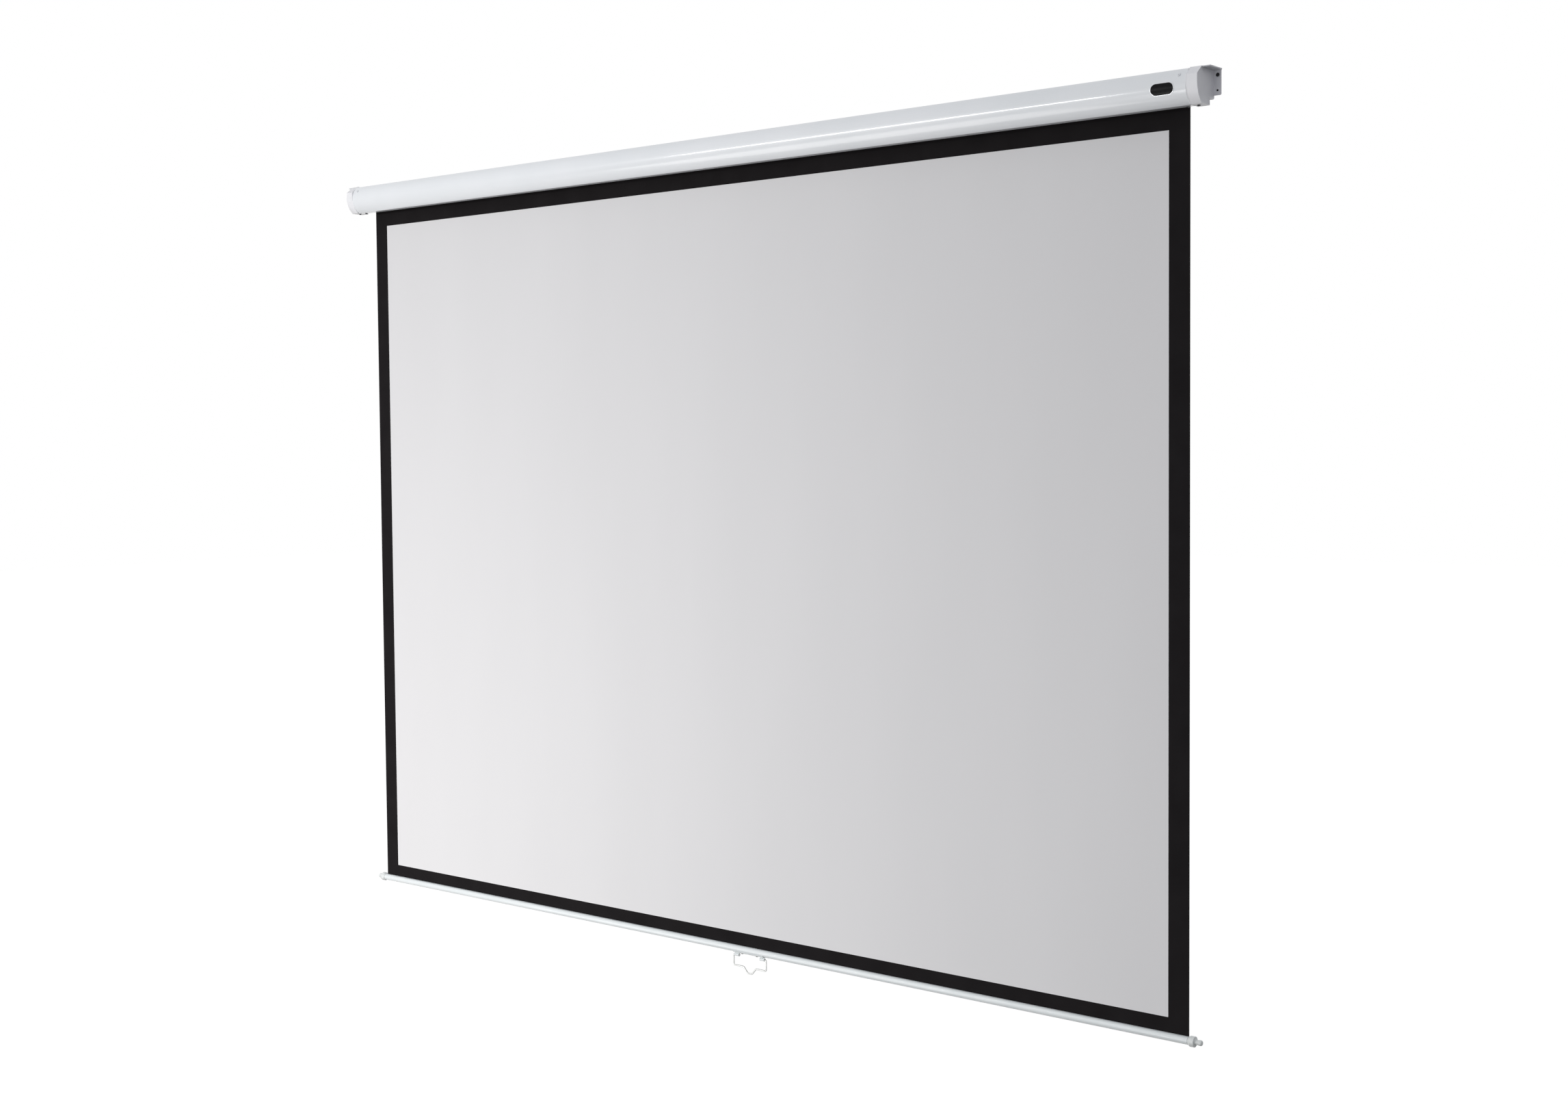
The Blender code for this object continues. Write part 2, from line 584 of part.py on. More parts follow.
def make_spindle(roller_line, finish):
    """The fixed steel spindle with its flattened end, and the spring's anchor, a clip and the lock collar."""
    spindle = finish_mesh(rod(SPINDLE_START_X, SPINDLE_END_X, SPINDLE_RADIUS), "spindle", roller_line,
                          finish["steel"])
    flats = SPINDLE_END_X - SPINDLE_FLAT_LENGTH
    for name, way in (("upper", 1), ("lower", -1)):
        low, high = sorted((way * SPINDLE_FLAT, way * 2 * SPINDLE_RADIUS))
        tool = block((flats, -2 * SPINDLE_RADIUS, low), (SPINDLE_END_X + FIT_GAP, 2 * SPINDLE_RADIUS, high))
        boolean(spindle, cutter(tool, "spindle_flat_" + name, roller_line))
    anchor = finish_mesh(bushing(ANCHOR_X, ANCHOR_X + ANCHOR_LENGTH, ANCHOR_RADIUS, SPINDLE_BORE_RADIUS),
                         "spring_anchor", roller_line, finish["steel"])
    hole = rod(ANCHOR_X - FIT_GAP, ANCHOR_X + ANCHOR_LENGTH + FIT_GAP, SPRING_WIRE_RADIUS + FIT_GAP, 12)
    boolean(anchor, cutter(hole, "spring_tail_hole", roller_line, (0, SPRING_MEAN_RADIUS, 0)))
    finish_mesh(bushing(CLIP_X, CLIP_X + CLIP_THICKNESS, CLIP_RADIUS, SPINDLE_BORE_RADIUS), "spindle_clip",
                roller_line, finish["steel"])
    ring = bushing(RATCHET_X, RATCHET_X + RATCHET_LENGTH, RATCHET_RADIUS, SPINDLE_BORE_RADIUS, 32)
    collar = finish_mesh(ring, "ratchet_collar", roller_line, finish["steel"])
    for name, turned_by in (("a", 0), ("b", 180)):
        boolean(collar, cutter(notch_tool(turned_by), "ratchet_notch_" + name, roller_line))


def capsule_hull(circles, turned_by):
    """The convex outline around some circles, turned about the roller's axis."""
    points = []
    for y, z, radius in circles:
        points += circle(y, z, radius, 16)
    ordered = sorted(points)
    hull = []
    for chain in (ordered, ordered[::-1]):
        part = []
        for point in chain:
            while len(part) > 1 and turns_right(part[-2], part[-1], point):
                part.pop()
            part.append(point)
        hull += part[:-1]
    spin = Matrix.Rotation(math.radians(turned_by), 2)
    return [tuple(spin @ Vector(point)) for point in hull]


def turns_right(one, two, three):
    ahead = (two[0] - one[0], two[1] - one[1])
    across = (three[0] - one[0], three[1] - one[1])
    return ahead[0] * across[1] - ahead[1] * across[0] <= 0


def pawl_nose(swing):
    """Where the middle of the pawl's nose lies, seen from the roller's axis, at an angle of its swing."""
    arm = Matrix.Rotation(math.radians(swing), 2) @ Vector(PAWL_REACH)
    return Vector(PAWL_PIVOT) + arm


def notch_tool(turned_by):
    """A bmesh: the room that the pawl sweeps as it drops into the collar."""
    sweep = PAWL_NOSE_RADIUS + SLIDE_GAP
    circles = [(*pawl_nose(swing), sweep) for swing in (0, PAWL_SWING / 2, PAWL_SWING)]
    circles.append((*PAWL_PIVOT, PAWL_EYE_RADIUS + SLIDE_GAP))
    outline = capsule_hull(circles, turned_by)
    return prism(outline, RATCHET_X - FIT_GAP, RATCHET_X + RATCHET_LENGTH + FIT_GAP)


def spring_line():
    """The spring's wire: a straight start, the coil, a bend and a straight tail along the spindle."""
    bend = SPRING_BEND_RADIUS
    first = SPRING_START_X + SPRING_WIRE_RADIUS
    last = ANCHOR_X - 2 * SPRING_WIRE_RADIUS - bend
    last_angle = -math.asin(bend / SPRING_MEAN_RADIUS)
    count = SPRING_TURNS * SPRING_STEPS
    points = []
    for i in range(count + 1):
        x = first + (last - first) * i / count
        angle = last_angle - math.tau * (SPRING_TURNS - i / SPRING_STEPS)
        points.append(Vector((x, SPRING_MEAN_RADIUS * math.cos(angle), SPRING_MEAN_RADIUS * math.sin(angle))))
    lead = points[0] - points[1]
    lead.x = 0
    points.insert(0, points[0] + lead.normalized() * 2 * SPRING_WIRE_RADIUS)
    for part in (1, 2, 3):
        angle = math.radians(90 * part / 3)
        x = last + bend * (1 - math.cos(angle))
        points.append(Vector((x, SPRING_MEAN_RADIUS, bend * (math.sin(angle) - 1))))
    points.append(Vector((ANCHOR_X + SPRING_TAIL, SPRING_MEAN_RADIUS, 0)))
    return points


def least_gap(points, radius, skipped):
    """The least distance between the faces of turns that lie at least some length of wire apart."""
    dense = []
    for one, two in zip(points, points[1:]):
        dense += [one.lerp(two, share / 4) for share in range(4)]
    places = np.array([tuple(point) for point in dense + [points[-1]]])
    along = np.concatenate(([0.0], np.cumsum(np.linalg.norm(np.diff(places, axis=0), axis=1))))
    distances = np.linalg.norm(places[:, None] - places[None], axis=2)
    distances[np.abs(along[:, None] - along[None]) < skipped] = np.inf
    return float(distances.min()) - 2 * radius


def make_spring(roller_line, finish):
    """The torsion spring: one wire that winds round the spindle and ends straight in the anchor."""
    points = spring_line()
    gap = least_gap(points, SPRING_WIRE_RADIUS, math.pi * SPRING_MEAN_RADIUS)
    print("torsion_spring: least gap between its turns %.2f mm" % (gap * 1000))
    wire("torsion_spring", points, SPRING_WIRE_RADIUS, 1, roller_line, finish["steel"])


def wire(name, points, radius, bevel_resolution, parent, material):
    """A round wire along a line of points, with closed ends."""
    line = bpy.data.curves.new(name, "CURVE")
    line.dimensions = "3D"
    line.bevel_depth = radius
    line.bevel_resolution = bevel_resolution
    line.use_fill_caps = True
    spline = line.splines.new("POLY")
    spline.points.add(len(points) - 1)
    for place, point in zip(spline.points, points):
        place.co = (*point, 1)
    made = bpy.data.objects.new(name, line)
    made.parent = parent
    line.materials.append(material)
    bpy.context.scene.collection.objects.link(made)
    return made


def make_roller(roller, finish):
    """The steel tube with its keyway, the plugs in it, and the cloth's last wraps round it."""
    half = KEYWAY_WIDTH / 2
    keyway = ROLLER_RADIUS - KEYWAY_DEPTH
    outer = keyed_circle(ROLLER_RADIUS, half, keyway)
    inner = keyed_circle(ROLLER_RADIUS - ROLLER_WALL, half + ROLLER_WALL, keyway - ROLLER_WALL)
    tube = ring_prism(outer, inner, -ROLLER_HALF_LENGTH, ROLLER_HALF_LENGTH)
    finish_mesh(tube, "roller_tube", roller, finish["steel"])
    key_rod = rod(-KEY_ROD_HALF_LENGTH, KEY_ROD_HALF_LENGTH, KEY_ROD_RADIUS, 10)
    rod_y = -keyway - FIT_GAP - KEY_ROD_RADIUS
    finish_mesh(key_rod, "cloth_key_rod", roller, finish["moulding"], (0, rod_y, 0))
    wraps = bushing(-CLOTH_HALF_WIDTH, CLOTH_HALF_WIDTH, WRAP_RADIUS, ROLLER_RADIUS + FIT_GAP, 32)
    finish_mesh(wraps, "cloth_wraps", roller, finish["cloth"])
    make_lock_plug(roller, finish)
    make_spring_plug(roller, finish)
    make_idle_end(roller, finish)


def key_tool(name, start, end, roller, side=1):
    """The groove in a plug that slides over the inside of the tube's keyway."""
    half = KEYWAY_WIDTH / 2 + ROLLER_WALL + FIT_GAP
    floor = ROLLER_RADIUS - KEYWAY_DEPTH - ROLLER_WALL - FIT_GAP
    tool = block((start, -2 * ROLLER_RADIUS, -half), (end, -floor, half))
    return cutter(tool, name, roller, side=side)


def make_end_plug(name, roller, finish, side):
    """A moulded plug in the tube's end, flanged outside it, with a bore for the spindle or the idle pin."""
    profile = [(PLUG_INNER_X, SPINDLE_BORE_RADIUS), (PLUG_INNER_X, PLUG_RADIUS),
               (FLANGE_INNER_X, PLUG_RADIUS), (FLANGE_INNER_X, PLUG_FLANGE_RADIUS),
               (FLANGE_OUTER_X, PLUG_FLANGE_RADIUS), (FLANGE_OUTER_X, SPINDLE_BORE_RADIUS)]
    plug = finish_mesh(turned(profile, 32, closed=True), name, roller, finish["moulding"], side=side)
    boolean(plug, key_tool(name + "_key", PLUG_INNER_X - FIT_GAP, FLANGE_INNER_X, roller, side))
    return plug


def make_lock_plug(roller, finish):
    """The right-hand plug, whose flange carries the two pawls on their headed pins."""
    plug = make_end_plug("lock_plug", roller, finish, 1)
    root = FLANGE_OUTER_X - PAWL_PIN_ROOT
    head = RATCHET_X + PAWL_THICKNESS + 2 * FIT_GAP
    tip = head + PAWL_PIN_HEAD
    for name, way in (("a", 1), ("b", -1)):
        at = (0, way * PAWL_PIVOT[0], way * PAWL_PIVOT[1])
        hole = rod(root - FIT_GAP, FLANGE_OUTER_X + FIT_GAP, PAWL_PIN_RADIUS + FIT_GAP, 12)
        boolean(plug, cutter(hole, "pawl_pin_hole_" + name, roller, at))
        profile = [(root, 0), (root, PAWL_PIN_RADIUS), (head, PAWL_PIN_RADIUS), (head, PAWL_PIN_HEAD_RADIUS),
                   (tip, PAWL_PIN_HEAD_RADIUS), (tip, 0)]
        finish_mesh(turned(profile, 16), "pawl_pin_" + name, roller, finish["steel"], at)


def make_spring_plug(roller, finish):
    """The plug deep in the tube that turns on the spindle; the spring's free end grips its hub."""
    shoulder = HUB_X - FIT_GAP
    hub_end = HUB_X + SPRING_HUB_LENGTH
    profile = [(SPRING_PLUG_X, SPINDLE_BORE_RADIUS), (SPRING_PLUG_X, PLUG_RADIUS), (shoulder, PLUG_RADIUS),
               (shoulder, SPRING_HUB_RADIUS), (hub_end, SPRING_HUB_RADIUS), (hub_end, SPINDLE_BORE_RADIUS)]
    plug = finish_mesh(turned(profile, 32, closed=True), "spring_plug", roller, finish["moulding"])
    boolean(plug, key_tool("spring_plug_key", SPRING_PLUG_X - FIT_GAP, HUB_X, roller))


def make_idle_end(roller, finish):
    """The left-hand plug and the steel pin that turns in the left bearing block."""
    make_end_plug("idle_plug", roller, finish, -1)
    finish_mesh(rod(SPINDLE_END_X - IDLE_PIN_LENGTH, SPINDLE_END_X, SPINDLE_RADIUS), "idle_pin", roller,
                finish["steel"], side=-1)


def make_pawl(name, roller, finish, way):
    """A pawl that hangs on its pin and drops its nose into the collar."""
    pivot = empty("pawl_" + name + "_pivot", (0, way * PAWL_PIVOT[0], way * PAWL_PIVOT[1]))
    pivot.parent = roller
    start = RATCHET_X + FIT_GAP
    end = start + PAWL_THICKNESS
    outline = capsule_hull([(0, 0, PAWL_EYE_RADIUS), (*PAWL_REACH, PAWL_NOSE_RADIUS)], 0 if way > 0 else 180)
    pawl = finish_mesh(prism(outline, start, end), "pawl_" + name, pivot, finish["steel"])
    bore = rod(start - FIT_GAP, end + FIT_GAP, PAWL_BORE_RADIUS, 16)
    boolean(pawl, cutter(bore, "pawl_bore_" + name, pivot))


def make_cloth(wall, finish):
    """The hanging cloth, black all over, and the white viewing coat on its front."""
    half = CLOTH_THICKNESS / 2
    cloth = block((-CLOTH_HALF_WIDTH, CLOTH_Y - half, CLOTH_BOTTOM_Z),
                  (CLOTH_HALF_WIDTH, CLOTH_Y + half, ROLLER_Z))
    finish_mesh(cloth, "screen_cloth", wall, finish["cloth"], smooth=False)
    back = CLOTH_Y - half - FIT_GAP
    coat = block((-IMAGE_HALF_WIDTH, back - COATING_THICKNESS, IMAGE_BOTTOM_Z),
                 (IMAGE_HALF_WIDTH, back, IMAGE_TOP_Z))
    finish_mesh(coat, "viewing_surface", wall, finish["screen"], smooth=False)


def make_bar(bar, finish):
    """The bottom bar: a slotted steel tube that grips the cloth's hem, and its two turned end pieces."""
    slot = math.degrees(math.atan2(BAR_SLOT_RISE, BAR_AHEAD_OF_CLOTH))
    start = slot + BAR_SLOT_HALF_ANGLE
    end = slot + 360 - BAR_SLOT_HALF_ANGLE
    outline = arc(0, 0, BAR_RADIUS, start, end, 26)
    outline += arc(0, 0, BAR_RADIUS - BAR_WALL, end, start, 26)
    tube = finish_mesh(prism(outline, -BAR_HALF_LENGTH, BAR_HALF_LENGTH), "bottom_bar", bar, finish["bar"])
    rod_z = BAR_SLOT_RISE - CLOTH_IN_BAR - FIT_GAP - HEM_ROD_RADIUS
    finish_mesh(rod(-HEM_ROD_HALF_LENGTH, HEM_ROD_HALF_LENGTH, HEM_ROD_RADIUS, 12), "hem_rod", bar,
                finish["moulding"], (0, BAR_AHEAD_OF_CLOTH, rod_z))
    for name, side in (("right", 1), ("left", -1)):
        make_bar_end(name, side, bar, finish)
    return tube


def make_bar_end(name, side, bar, finish):
    """The collar on the bar's end and the knobbed pin that parks in the cap's notch."""
    root = COLLAR_X - BAR_PLUG_DEPTH
    plug = BAR_RADIUS - BAR_WALL - FIT_GAP
    collar_end = COLLAR_X + COLLAR_LENGTH
    knob = collar_end + PIN_NECK_LENGTH
    tip = collar_end + PIN_LENGTH
    edge = TURNED_EDGE
    profile = [(root, 0), (root, plug), (COLLAR_X, plug), (COLLAR_X, BAR_RADIUS),
               (COLLAR_X + COLLAR_FLARE, COLLAR_RADIUS), (collar_end - edge, COLLAR_RADIUS),
               (collar_end, COLLAR_RADIUS - edge), (collar_end, PIN_NECK_RADIUS), (knob, PIN_NECK_RADIUS),
               (knob + edge, PIN_KNOB_RADIUS), (tip - 3 * edge, PIN_KNOB_RADIUS),
               (tip - edge, PIN_KNOB_RADIUS - edge), (tip, PIN_TIP_RADIUS), (tip, 0)]
    end = finish_mesh(turned(profile, 28), "bar_end_" + name, bar, finish["cap"], side=side)
    clear = CLOTH_THICKNESS + 2 * FIT_GAP
    low = (root - FIT_GAP, BAR_AHEAD_OF_CLOTH - clear, BAR_SLOT_RISE - CLOTH_IN_BAR - clear)
    high = (COLLAR_X, BAR_AHEAD_OF_CLOTH + 2 * clear, 2 * BAR_RADIUS)
    boolean(end, cutter(block(low, high), "bar_end_cloth_room_" + name, bar, side=side))


def make_saddle(bar, finish, tube):
    """The pressed strap riveted under the bar, with an eye at each end for the handle's wire."""
    at = (HANDLE_X, 0, 0)
    inner = BAR_RADIUS + FIT_GAP
    outer = inner + SADDLE_STEEL
    reach = HANDLE_HALF_WIDTH - HANDLE_BEND_RADIUS - FIT_GAP
    start = 270 - SADDLE_HALF_ANGLE
    end = 270 + SADDLE_HALF_ANGLE
    strap = arc(0, 0, outer, start, end, 12) + arc(0, 0, inner, end, start, 12)
    saddle = finish_mesh(prism(strap, -reach, reach), "handle_saddle", bar, finish["bar"], at)
    neck_top = -inner - SADDLE_STEEL / 2
    lug = arc(0, -HANDLE_DROP, LUG_RADIUS, 180, 360, 10)
    lug += [(LUG_NECK_HALF_WIDTH, neck_top), (-LUG_NECK_HALF_WIDTH, neck_top)]
    for name, inner_end in (("left", -reach), ("right", reach - LUG_LENGTH)):
        eye = prism(lug, inner_end, inner_end + LUG_LENGTH)
        boolean(saddle, cutter(eye, "saddle_lug_" + name, bar, at), "UNION")
    bore = rod(-2 * reach, 2 * reach, HANDLE_WIRE_RADIUS + FIT_GAP, 16)
    boolean(saddle, cutter(bore, "saddle_bore", bar, (HANDLE_X, 0, -HANDLE_DROP)))
    for name, way in (("left", -1), ("right", 1)):
        make_rivet(name, (HANDLE_X + way * RIVET_X, 0, -outer), bar, finish, saddle, tube)


def make_rivet(name, under, bar, finish, saddle, tube):
    """A dome headed rivet from below through the strap and the bar's wall."""
    length = SADDLE_STEEL + BAR_WALL + 3 * FIT_GAP
    profile = [(-RIVET_HEAD, 0), (-RIVET_HEAD, RIVET_CROWN_RADIUS), (-RIVET_HEAD / 2, RIVET_HEAD_RADIUS),
               (0, RIVET_HEAD_RADIUS), (0, RIVET_SHANK_RADIUS), (length, RIVET_SHANK_RADIUS), (length, 0)]
    up = Vector((0, 0, 1))
    rivet = turn(turned(profile, 16), up, Vector(under) - up * FIT_GAP)
    finish_mesh(rivet, "saddle_rivet_" + name, bar, finish["steel"])
    hole = turn(rod(-length, 2 * length, RIVET_SHANK_RADIUS + FIT_GAP, 12), up, under)
    tool = cutter(hole, "rivet_hole_" + name, bar)
    boolean(saddle, tool)
    boolean(tube, tool)


def rounded_line(corners, radius, steps=3):
    """The line through some corners in space, each corner rounded off as far as its sides allow."""
    points = [Vector(corners[0])]
    for before, here, after in zip(corners, corners[1:], corners[2:]):
        to_before = Vector(before) - Vector(here)
        to_after = Vector(after) - Vector(here)
        half = to_before.angle(to_after) / 2
        room = min(to_before.length, to_after.length) / 2
        bend = min(radius, room * math.tan(half))
        back = to_before.normalized()
        ahead = to_after.normalized()
        centre = Vector(here) + (back + ahead).normalized() * bend / math.sin(half)
        start = Vector(here) + back * bend / math.tan(half) - centre
        end = Vector(here) + ahead * bend / math.tan(half) - centre
        for i in range(steps + 1):
            points.append(centre + start.slerp(end, i / steps) * bend)
    points.append(Vector(corners[-1]))
    return points


def make_handle(pivot, finish):
    """The bent wire loop: its ends turn inwards through the saddle's eyes and its foot dips in the middle."""
    foot = -HANDLE_LEG
    inner = HANDLE_HALF_WIDTH - HANDLE_END_LENGTH
    left = [(-inner, 0, 0), (-HANDLE_HALF_WIDTH, 0, 0), (-HANDLE_HALF_WIDTH, 0, foot),
            (-DIP_TOP_HALF_WIDTH, 0, foot), (-DIP_BOTTOM_HALF_WIDTH, 0, foot - DIP_DEPTH)]
    corners = left + [(-x, y, z) for x, y, z in reversed(left)]
    line = rounded_line(corners, HANDLE_BEND_RADIUS)
    wire("pull_handle", line, HANDLE_WIRE_RADIUS, 2, pivot, finish["wire"])


def main():
    clear_scene()
    finish = {
        "casing": surface("white_powder_coat", (0.80, 0.80, 0.81), 0.35),
        "cap": surface("white_moulding", (0.78, 0.78, 0.79), 0.42),
        "bracket": surface("painted_bracket_steel", (0.55, 0.55, 0.57), 0.45),
        "cloth": surface("black_cloth", (0.012, 0.011, 0.012), 0.75),
        "screen": surface("matt_white_screen", (0.85, 0.85, 0.85), 0.9),
        "bar": surface("white_bar_paint", (0.72, 0.73, 0.74), 0.4),
        "wire": surface("bright_wire", (0.55, 0.55, 0.56), 0.3, 0.9),
        "steel": surface("plated_steel", (0.60, 0.60, 0.58), 0.4, 1.0),
        "moulding": surface("grey_nylon", (0.35, 0.36, 0.37), 0.55),
        "black": surface("black_moulding", (0.02, 0.02, 0.02), 0.5),
        "badge": surface("dark_badge", (0.015, 0.015, 0.018), 0.3),
    }
    wall = empty("wall_frame", (0, 0, 0))
    roller_line = empty("roller_line", (0, ROLLER_Y, ROLLER_Z))
    roller_line.parent = wall
    roller = empty("roller_axis", (0, ROLLER_Y, ROLLER_Z))
    bar = empty("bar_axis", (0, BAR_Y, BAR_Z))
    handle = empty("handle_pivot", (HANDLE_X, BAR_Y, HANDLE_Z))
    shell = make_casing(wall, finish)
    make_badge(wall, finish)
    for name, side in (("left", -1), ("right", 1)):
        cap = make_end_cap(name, side, wall, finish)
        make_bracket(name, side, wall, finish)
        bearing = make_bearing_block(name, side, wall, finish)
        make_fasteners(name, side, wall, finish, shell, cap, bearing)
    make_spindle(roller_line, finish)
    make_spring(roller_line, finish)
    make_roller(roller, finish)
    make_pawl("a", roller, finish, 1)
    make_pawl("b", roller, finish, -1)
    make_cloth(wall, finish)
    tube = make_bar(bar, finish)
    make_saddle(bar, finish, tube)
    make_handle(handle, finish)


main()
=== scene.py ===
import math

import bmesh
import bpy
from mathutils import Matrix, Vector


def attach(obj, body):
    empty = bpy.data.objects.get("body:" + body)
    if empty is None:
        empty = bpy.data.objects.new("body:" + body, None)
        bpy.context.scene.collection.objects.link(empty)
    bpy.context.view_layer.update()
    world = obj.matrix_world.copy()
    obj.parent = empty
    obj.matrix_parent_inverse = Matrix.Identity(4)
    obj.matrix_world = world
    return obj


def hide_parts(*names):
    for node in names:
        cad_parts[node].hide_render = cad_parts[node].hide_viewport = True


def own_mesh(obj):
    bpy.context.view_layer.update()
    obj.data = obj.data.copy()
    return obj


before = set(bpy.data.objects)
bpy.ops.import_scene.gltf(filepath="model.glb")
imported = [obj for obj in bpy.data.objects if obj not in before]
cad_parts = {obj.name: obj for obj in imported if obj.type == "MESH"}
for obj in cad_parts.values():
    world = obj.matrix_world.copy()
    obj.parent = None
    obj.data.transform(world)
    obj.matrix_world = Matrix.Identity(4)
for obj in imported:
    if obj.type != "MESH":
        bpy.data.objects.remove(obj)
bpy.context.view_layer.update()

# Camera, lamps, floor and backdrop.
# The camera stands to the right of the screen, a third of the way down it, and looks left along it. A long
# tube lamp draws the lines of light on the casing and the bar; soft boxes stand low on the left and in front.
PHOTO_WIDTH = 2293
PHOTO_HEIGHT = 1624
FOCAL_LENGTH_PX = 2851.5
HORIZON_CENTRE_PX = 790.4
SENSOR = 36.0
EYE = Vector((2.957, -3.3790, -0.6713))
YAW = math.radians(-39.312)
PITCH = math.radians(-2.679)
ROLL = math.radians(0.478)
FLOOR_Z = -2.75
FLOOR_SIZE = 60
FLOOR_SHOWN = 0.95
ROOM_LIGHT = 0.59


def linear(hex_colour):
    """A colour written as sRGB hex, as the linear colour that a shader takes."""
    parts = [int(hex_colour[at:at + 2], 16) / 255 for at in (1, 3, 5)]
    return [part / 12.92 if part <= 0.04045 else ((part + 0.055) / 1.055) ** 2.4 for part in parts] + [1.0]


def add_node(tree, kind, inputs=None, **settings):
    """Adds one node; an input is given as a value or as another node's output."""
    node = tree.nodes.new(kind)
    for name, value in settings.items():
        setattr(node, name, value)
    for name, value in (inputs or {}).items():
        if isinstance(value, bpy.types.NodeSocket):
            tree.links.new(value, node.inputs[name])
        else:
            node.inputs[name].default_value = value
    return node


def deselect():
    """Leaves edit mode and deselects everything."""
    if bpy.context.object and bpy.context.object.mode == "EDIT":
        bpy.ops.object.mode_set(mode="OBJECT")
    bpy.ops.object.select_all(action="DESELECT")


ahead = Vector((math.sin(YAW) * math.cos(PITCH), math.cos(YAW) * math.cos(PITCH), math.sin(PITCH)))
level = Vector((math.cos(YAW), -math.sin(YAW), 0))
down = ahead.cross(level)
right = math.cos(ROLL) * level + math.sin(ROLL) * down
under = math.cos(ROLL) * down - math.sin(ROLL) * level
deselect()
bpy.ops.object.camera_add()
camera = bpy.context.active_object
camera.name = "camera"
camera.matrix_world = Matrix.Translation(EYE) @ Matrix((right, -under, -ahead)).transposed().to_4x4()
camera.data.sensor_width = SENSOR
camera.data.lens = SENSOR * FOCAL_LENGTH_PX / PHOTO_WIDTH
camera.data.shift_y = (HORIZON_CENTRE_PX - PHOTO_HEIGHT / 2) / PHOTO_WIDTH
bpy.context.scene.camera = camera
bpy.context.scene.view_settings.view_transform = "Standard"


def soft_lamp(name, place, aim, long_side, short_side, watts, colour="#ffffff"):
    """A rectangular lamp that faces a point, with its long side level."""
    bpy.ops.object.light_add(type="AREA", location=place)
    lamp = bpy.context.active_object
    lamp.name = name
    lamp.rotation_euler = (Vector(aim) - Vector(place)).to_track_quat("-Z", "Y").to_euler()
    lamp.data.shape = "RECTANGLE"
    lamp.data.size = long_side
    lamp.data.size_y = short_side
    lamp.data.energy = watts
    lamp.data.color = linear(colour)[:3]
    lamp.visible_camera = False


soft_lamp("tube_lamp", place=(-1.50, -2.85, 0.12), aim=(-1.50, 0, 0.0), long_side=2.0, short_side=0.05,
          watts=27)
soft_lamp("low_soft_box", place=(-1.4, -1.8, -2.0), aim=(-1.0, 0, -1.5), long_side=1.8, short_side=1.8,
          watts=23, colour="#fffdfb")
soft_lamp("front_soft_box", place=(0.1, -4.1, -1.95), aim=(0.3, 0, -1.1), long_side=2.4, short_side=1.2,
          watts=47)
soft_lamp("right_fill", place=(4.2, -1.2, 0.0), aim=(1.2, 0, 0.0), long_side=1.6, short_side=1.6, watts=4)


def seen_directly(tree):
    """1 for what the camera, a reflection or clear material shows, and 0 for what only lights the object."""
    rays = add_node(tree, "ShaderNodeLightPath").outputs
    shown = add_node(tree, "ShaderNodeMath", {0: rays["Is Camera Ray"], 1: rays["Is Glossy Ray"]},
                     operation="MAXIMUM")
    return add_node(tree, "ShaderNodeMath", {0: shown.outputs[0], 1: rays["Is Transmission Ray"]},
                    operation="MAXIMUM").outputs[0]


# The room shows white and lights the object with a light grey all round.
room = bpy.data.worlds.new("pale_room")
bpy.context.scene.world = room
room.use_nodes = True
room.node_tree.nodes.clear()
shown_white = add_node(room.node_tree, "ShaderNodeBackground", {"Color": linear("#ffffff"), "Strength": 1.0})
room_light = add_node(room.node_tree, "ShaderNodeBackground",
                      {"Color": linear("#f4f6fa"), "Strength": ROOM_LIGHT})
backdrop = add_node(room.node_tree, "ShaderNodeMixShader", {0: seen_directly(room.node_tree),
                                                            1: room_light.outputs[0],
                                                            2: shown_white.outputs[0]})
add_node(room.node_tree, "ShaderNodeOutputWorld", {"Surface": backdrop.outputs[0]})

# The floor shows nearly white too, but sends little light up under the casing.
bpy.ops.mesh.primitive_plane_add(size=FLOOR_SIZE, location=(0, 0, FLOOR_Z))
floor = bpy.context.active_object
floor.name = "floor"
floor_finish = bpy.data.materials.new("matt_pale_floor")
floor_finish.use_nodes = True
floor_tree = floor_finish.node_tree
floor_tree.nodes.clear()
floor_paint = add_node(floor_tree, "ShaderNodeBsdfDiffuse", {"Color": linear("#5e5e5e")})
floor_seen = add_node(floor_tree, "ShaderNodeMath", {0: seen_directly(floor_tree), 1: FLOOR_SHOWN},
                      operation="MULTIPLY")
floor_glow = add_node(floor_tree, "ShaderNodeEmission",
                      {"Color": linear("#ffffff"), "Strength": floor_seen.outputs[0]})
floor_mix = add_node(floor_tree, "ShaderNodeAddShader", {0: floor_paint.outputs[0], 1: floor_glow.outputs[0]})
add_node(floor_tree, "ShaderNodeOutputMaterial", {"Surface": floor_mix.outputs[0]})
floor.data.materials.append(floor_finish)

# Casing: the long white shell that the cloth rolls up into.
# It is 1.2 mm steel sheet, rolled to a round front with a flat top, back and bottom and a folded hem along
# the slot, then coated with white powder and a clear gloss. The end caps plug into it and screws hold them.
SEAM_X = 1.2215
FIT_GAP = 0.0003
CASING_STEEL = 0.0012
CASING_FRONT_RADIUS = 0.0400
CASING_FRONT_Y = -0.0305
CASING_FRONT_Z = 0.0010
CASING_TOP_Z = 0.0325
CASING_BOTTOM_Z = -0.0350
CASING_BACK_Y = -0.0025
CASING_BACK_EDGE_Z = -0.0160
CASING_CORNER_RADIUS = 0.0035
SLOT_LIP_Y = -0.0315
SLOT_HEM_HEIGHT = 0.0040
SHEET_EDGE = 0.0003
SMOOTH_ANGLE = 35
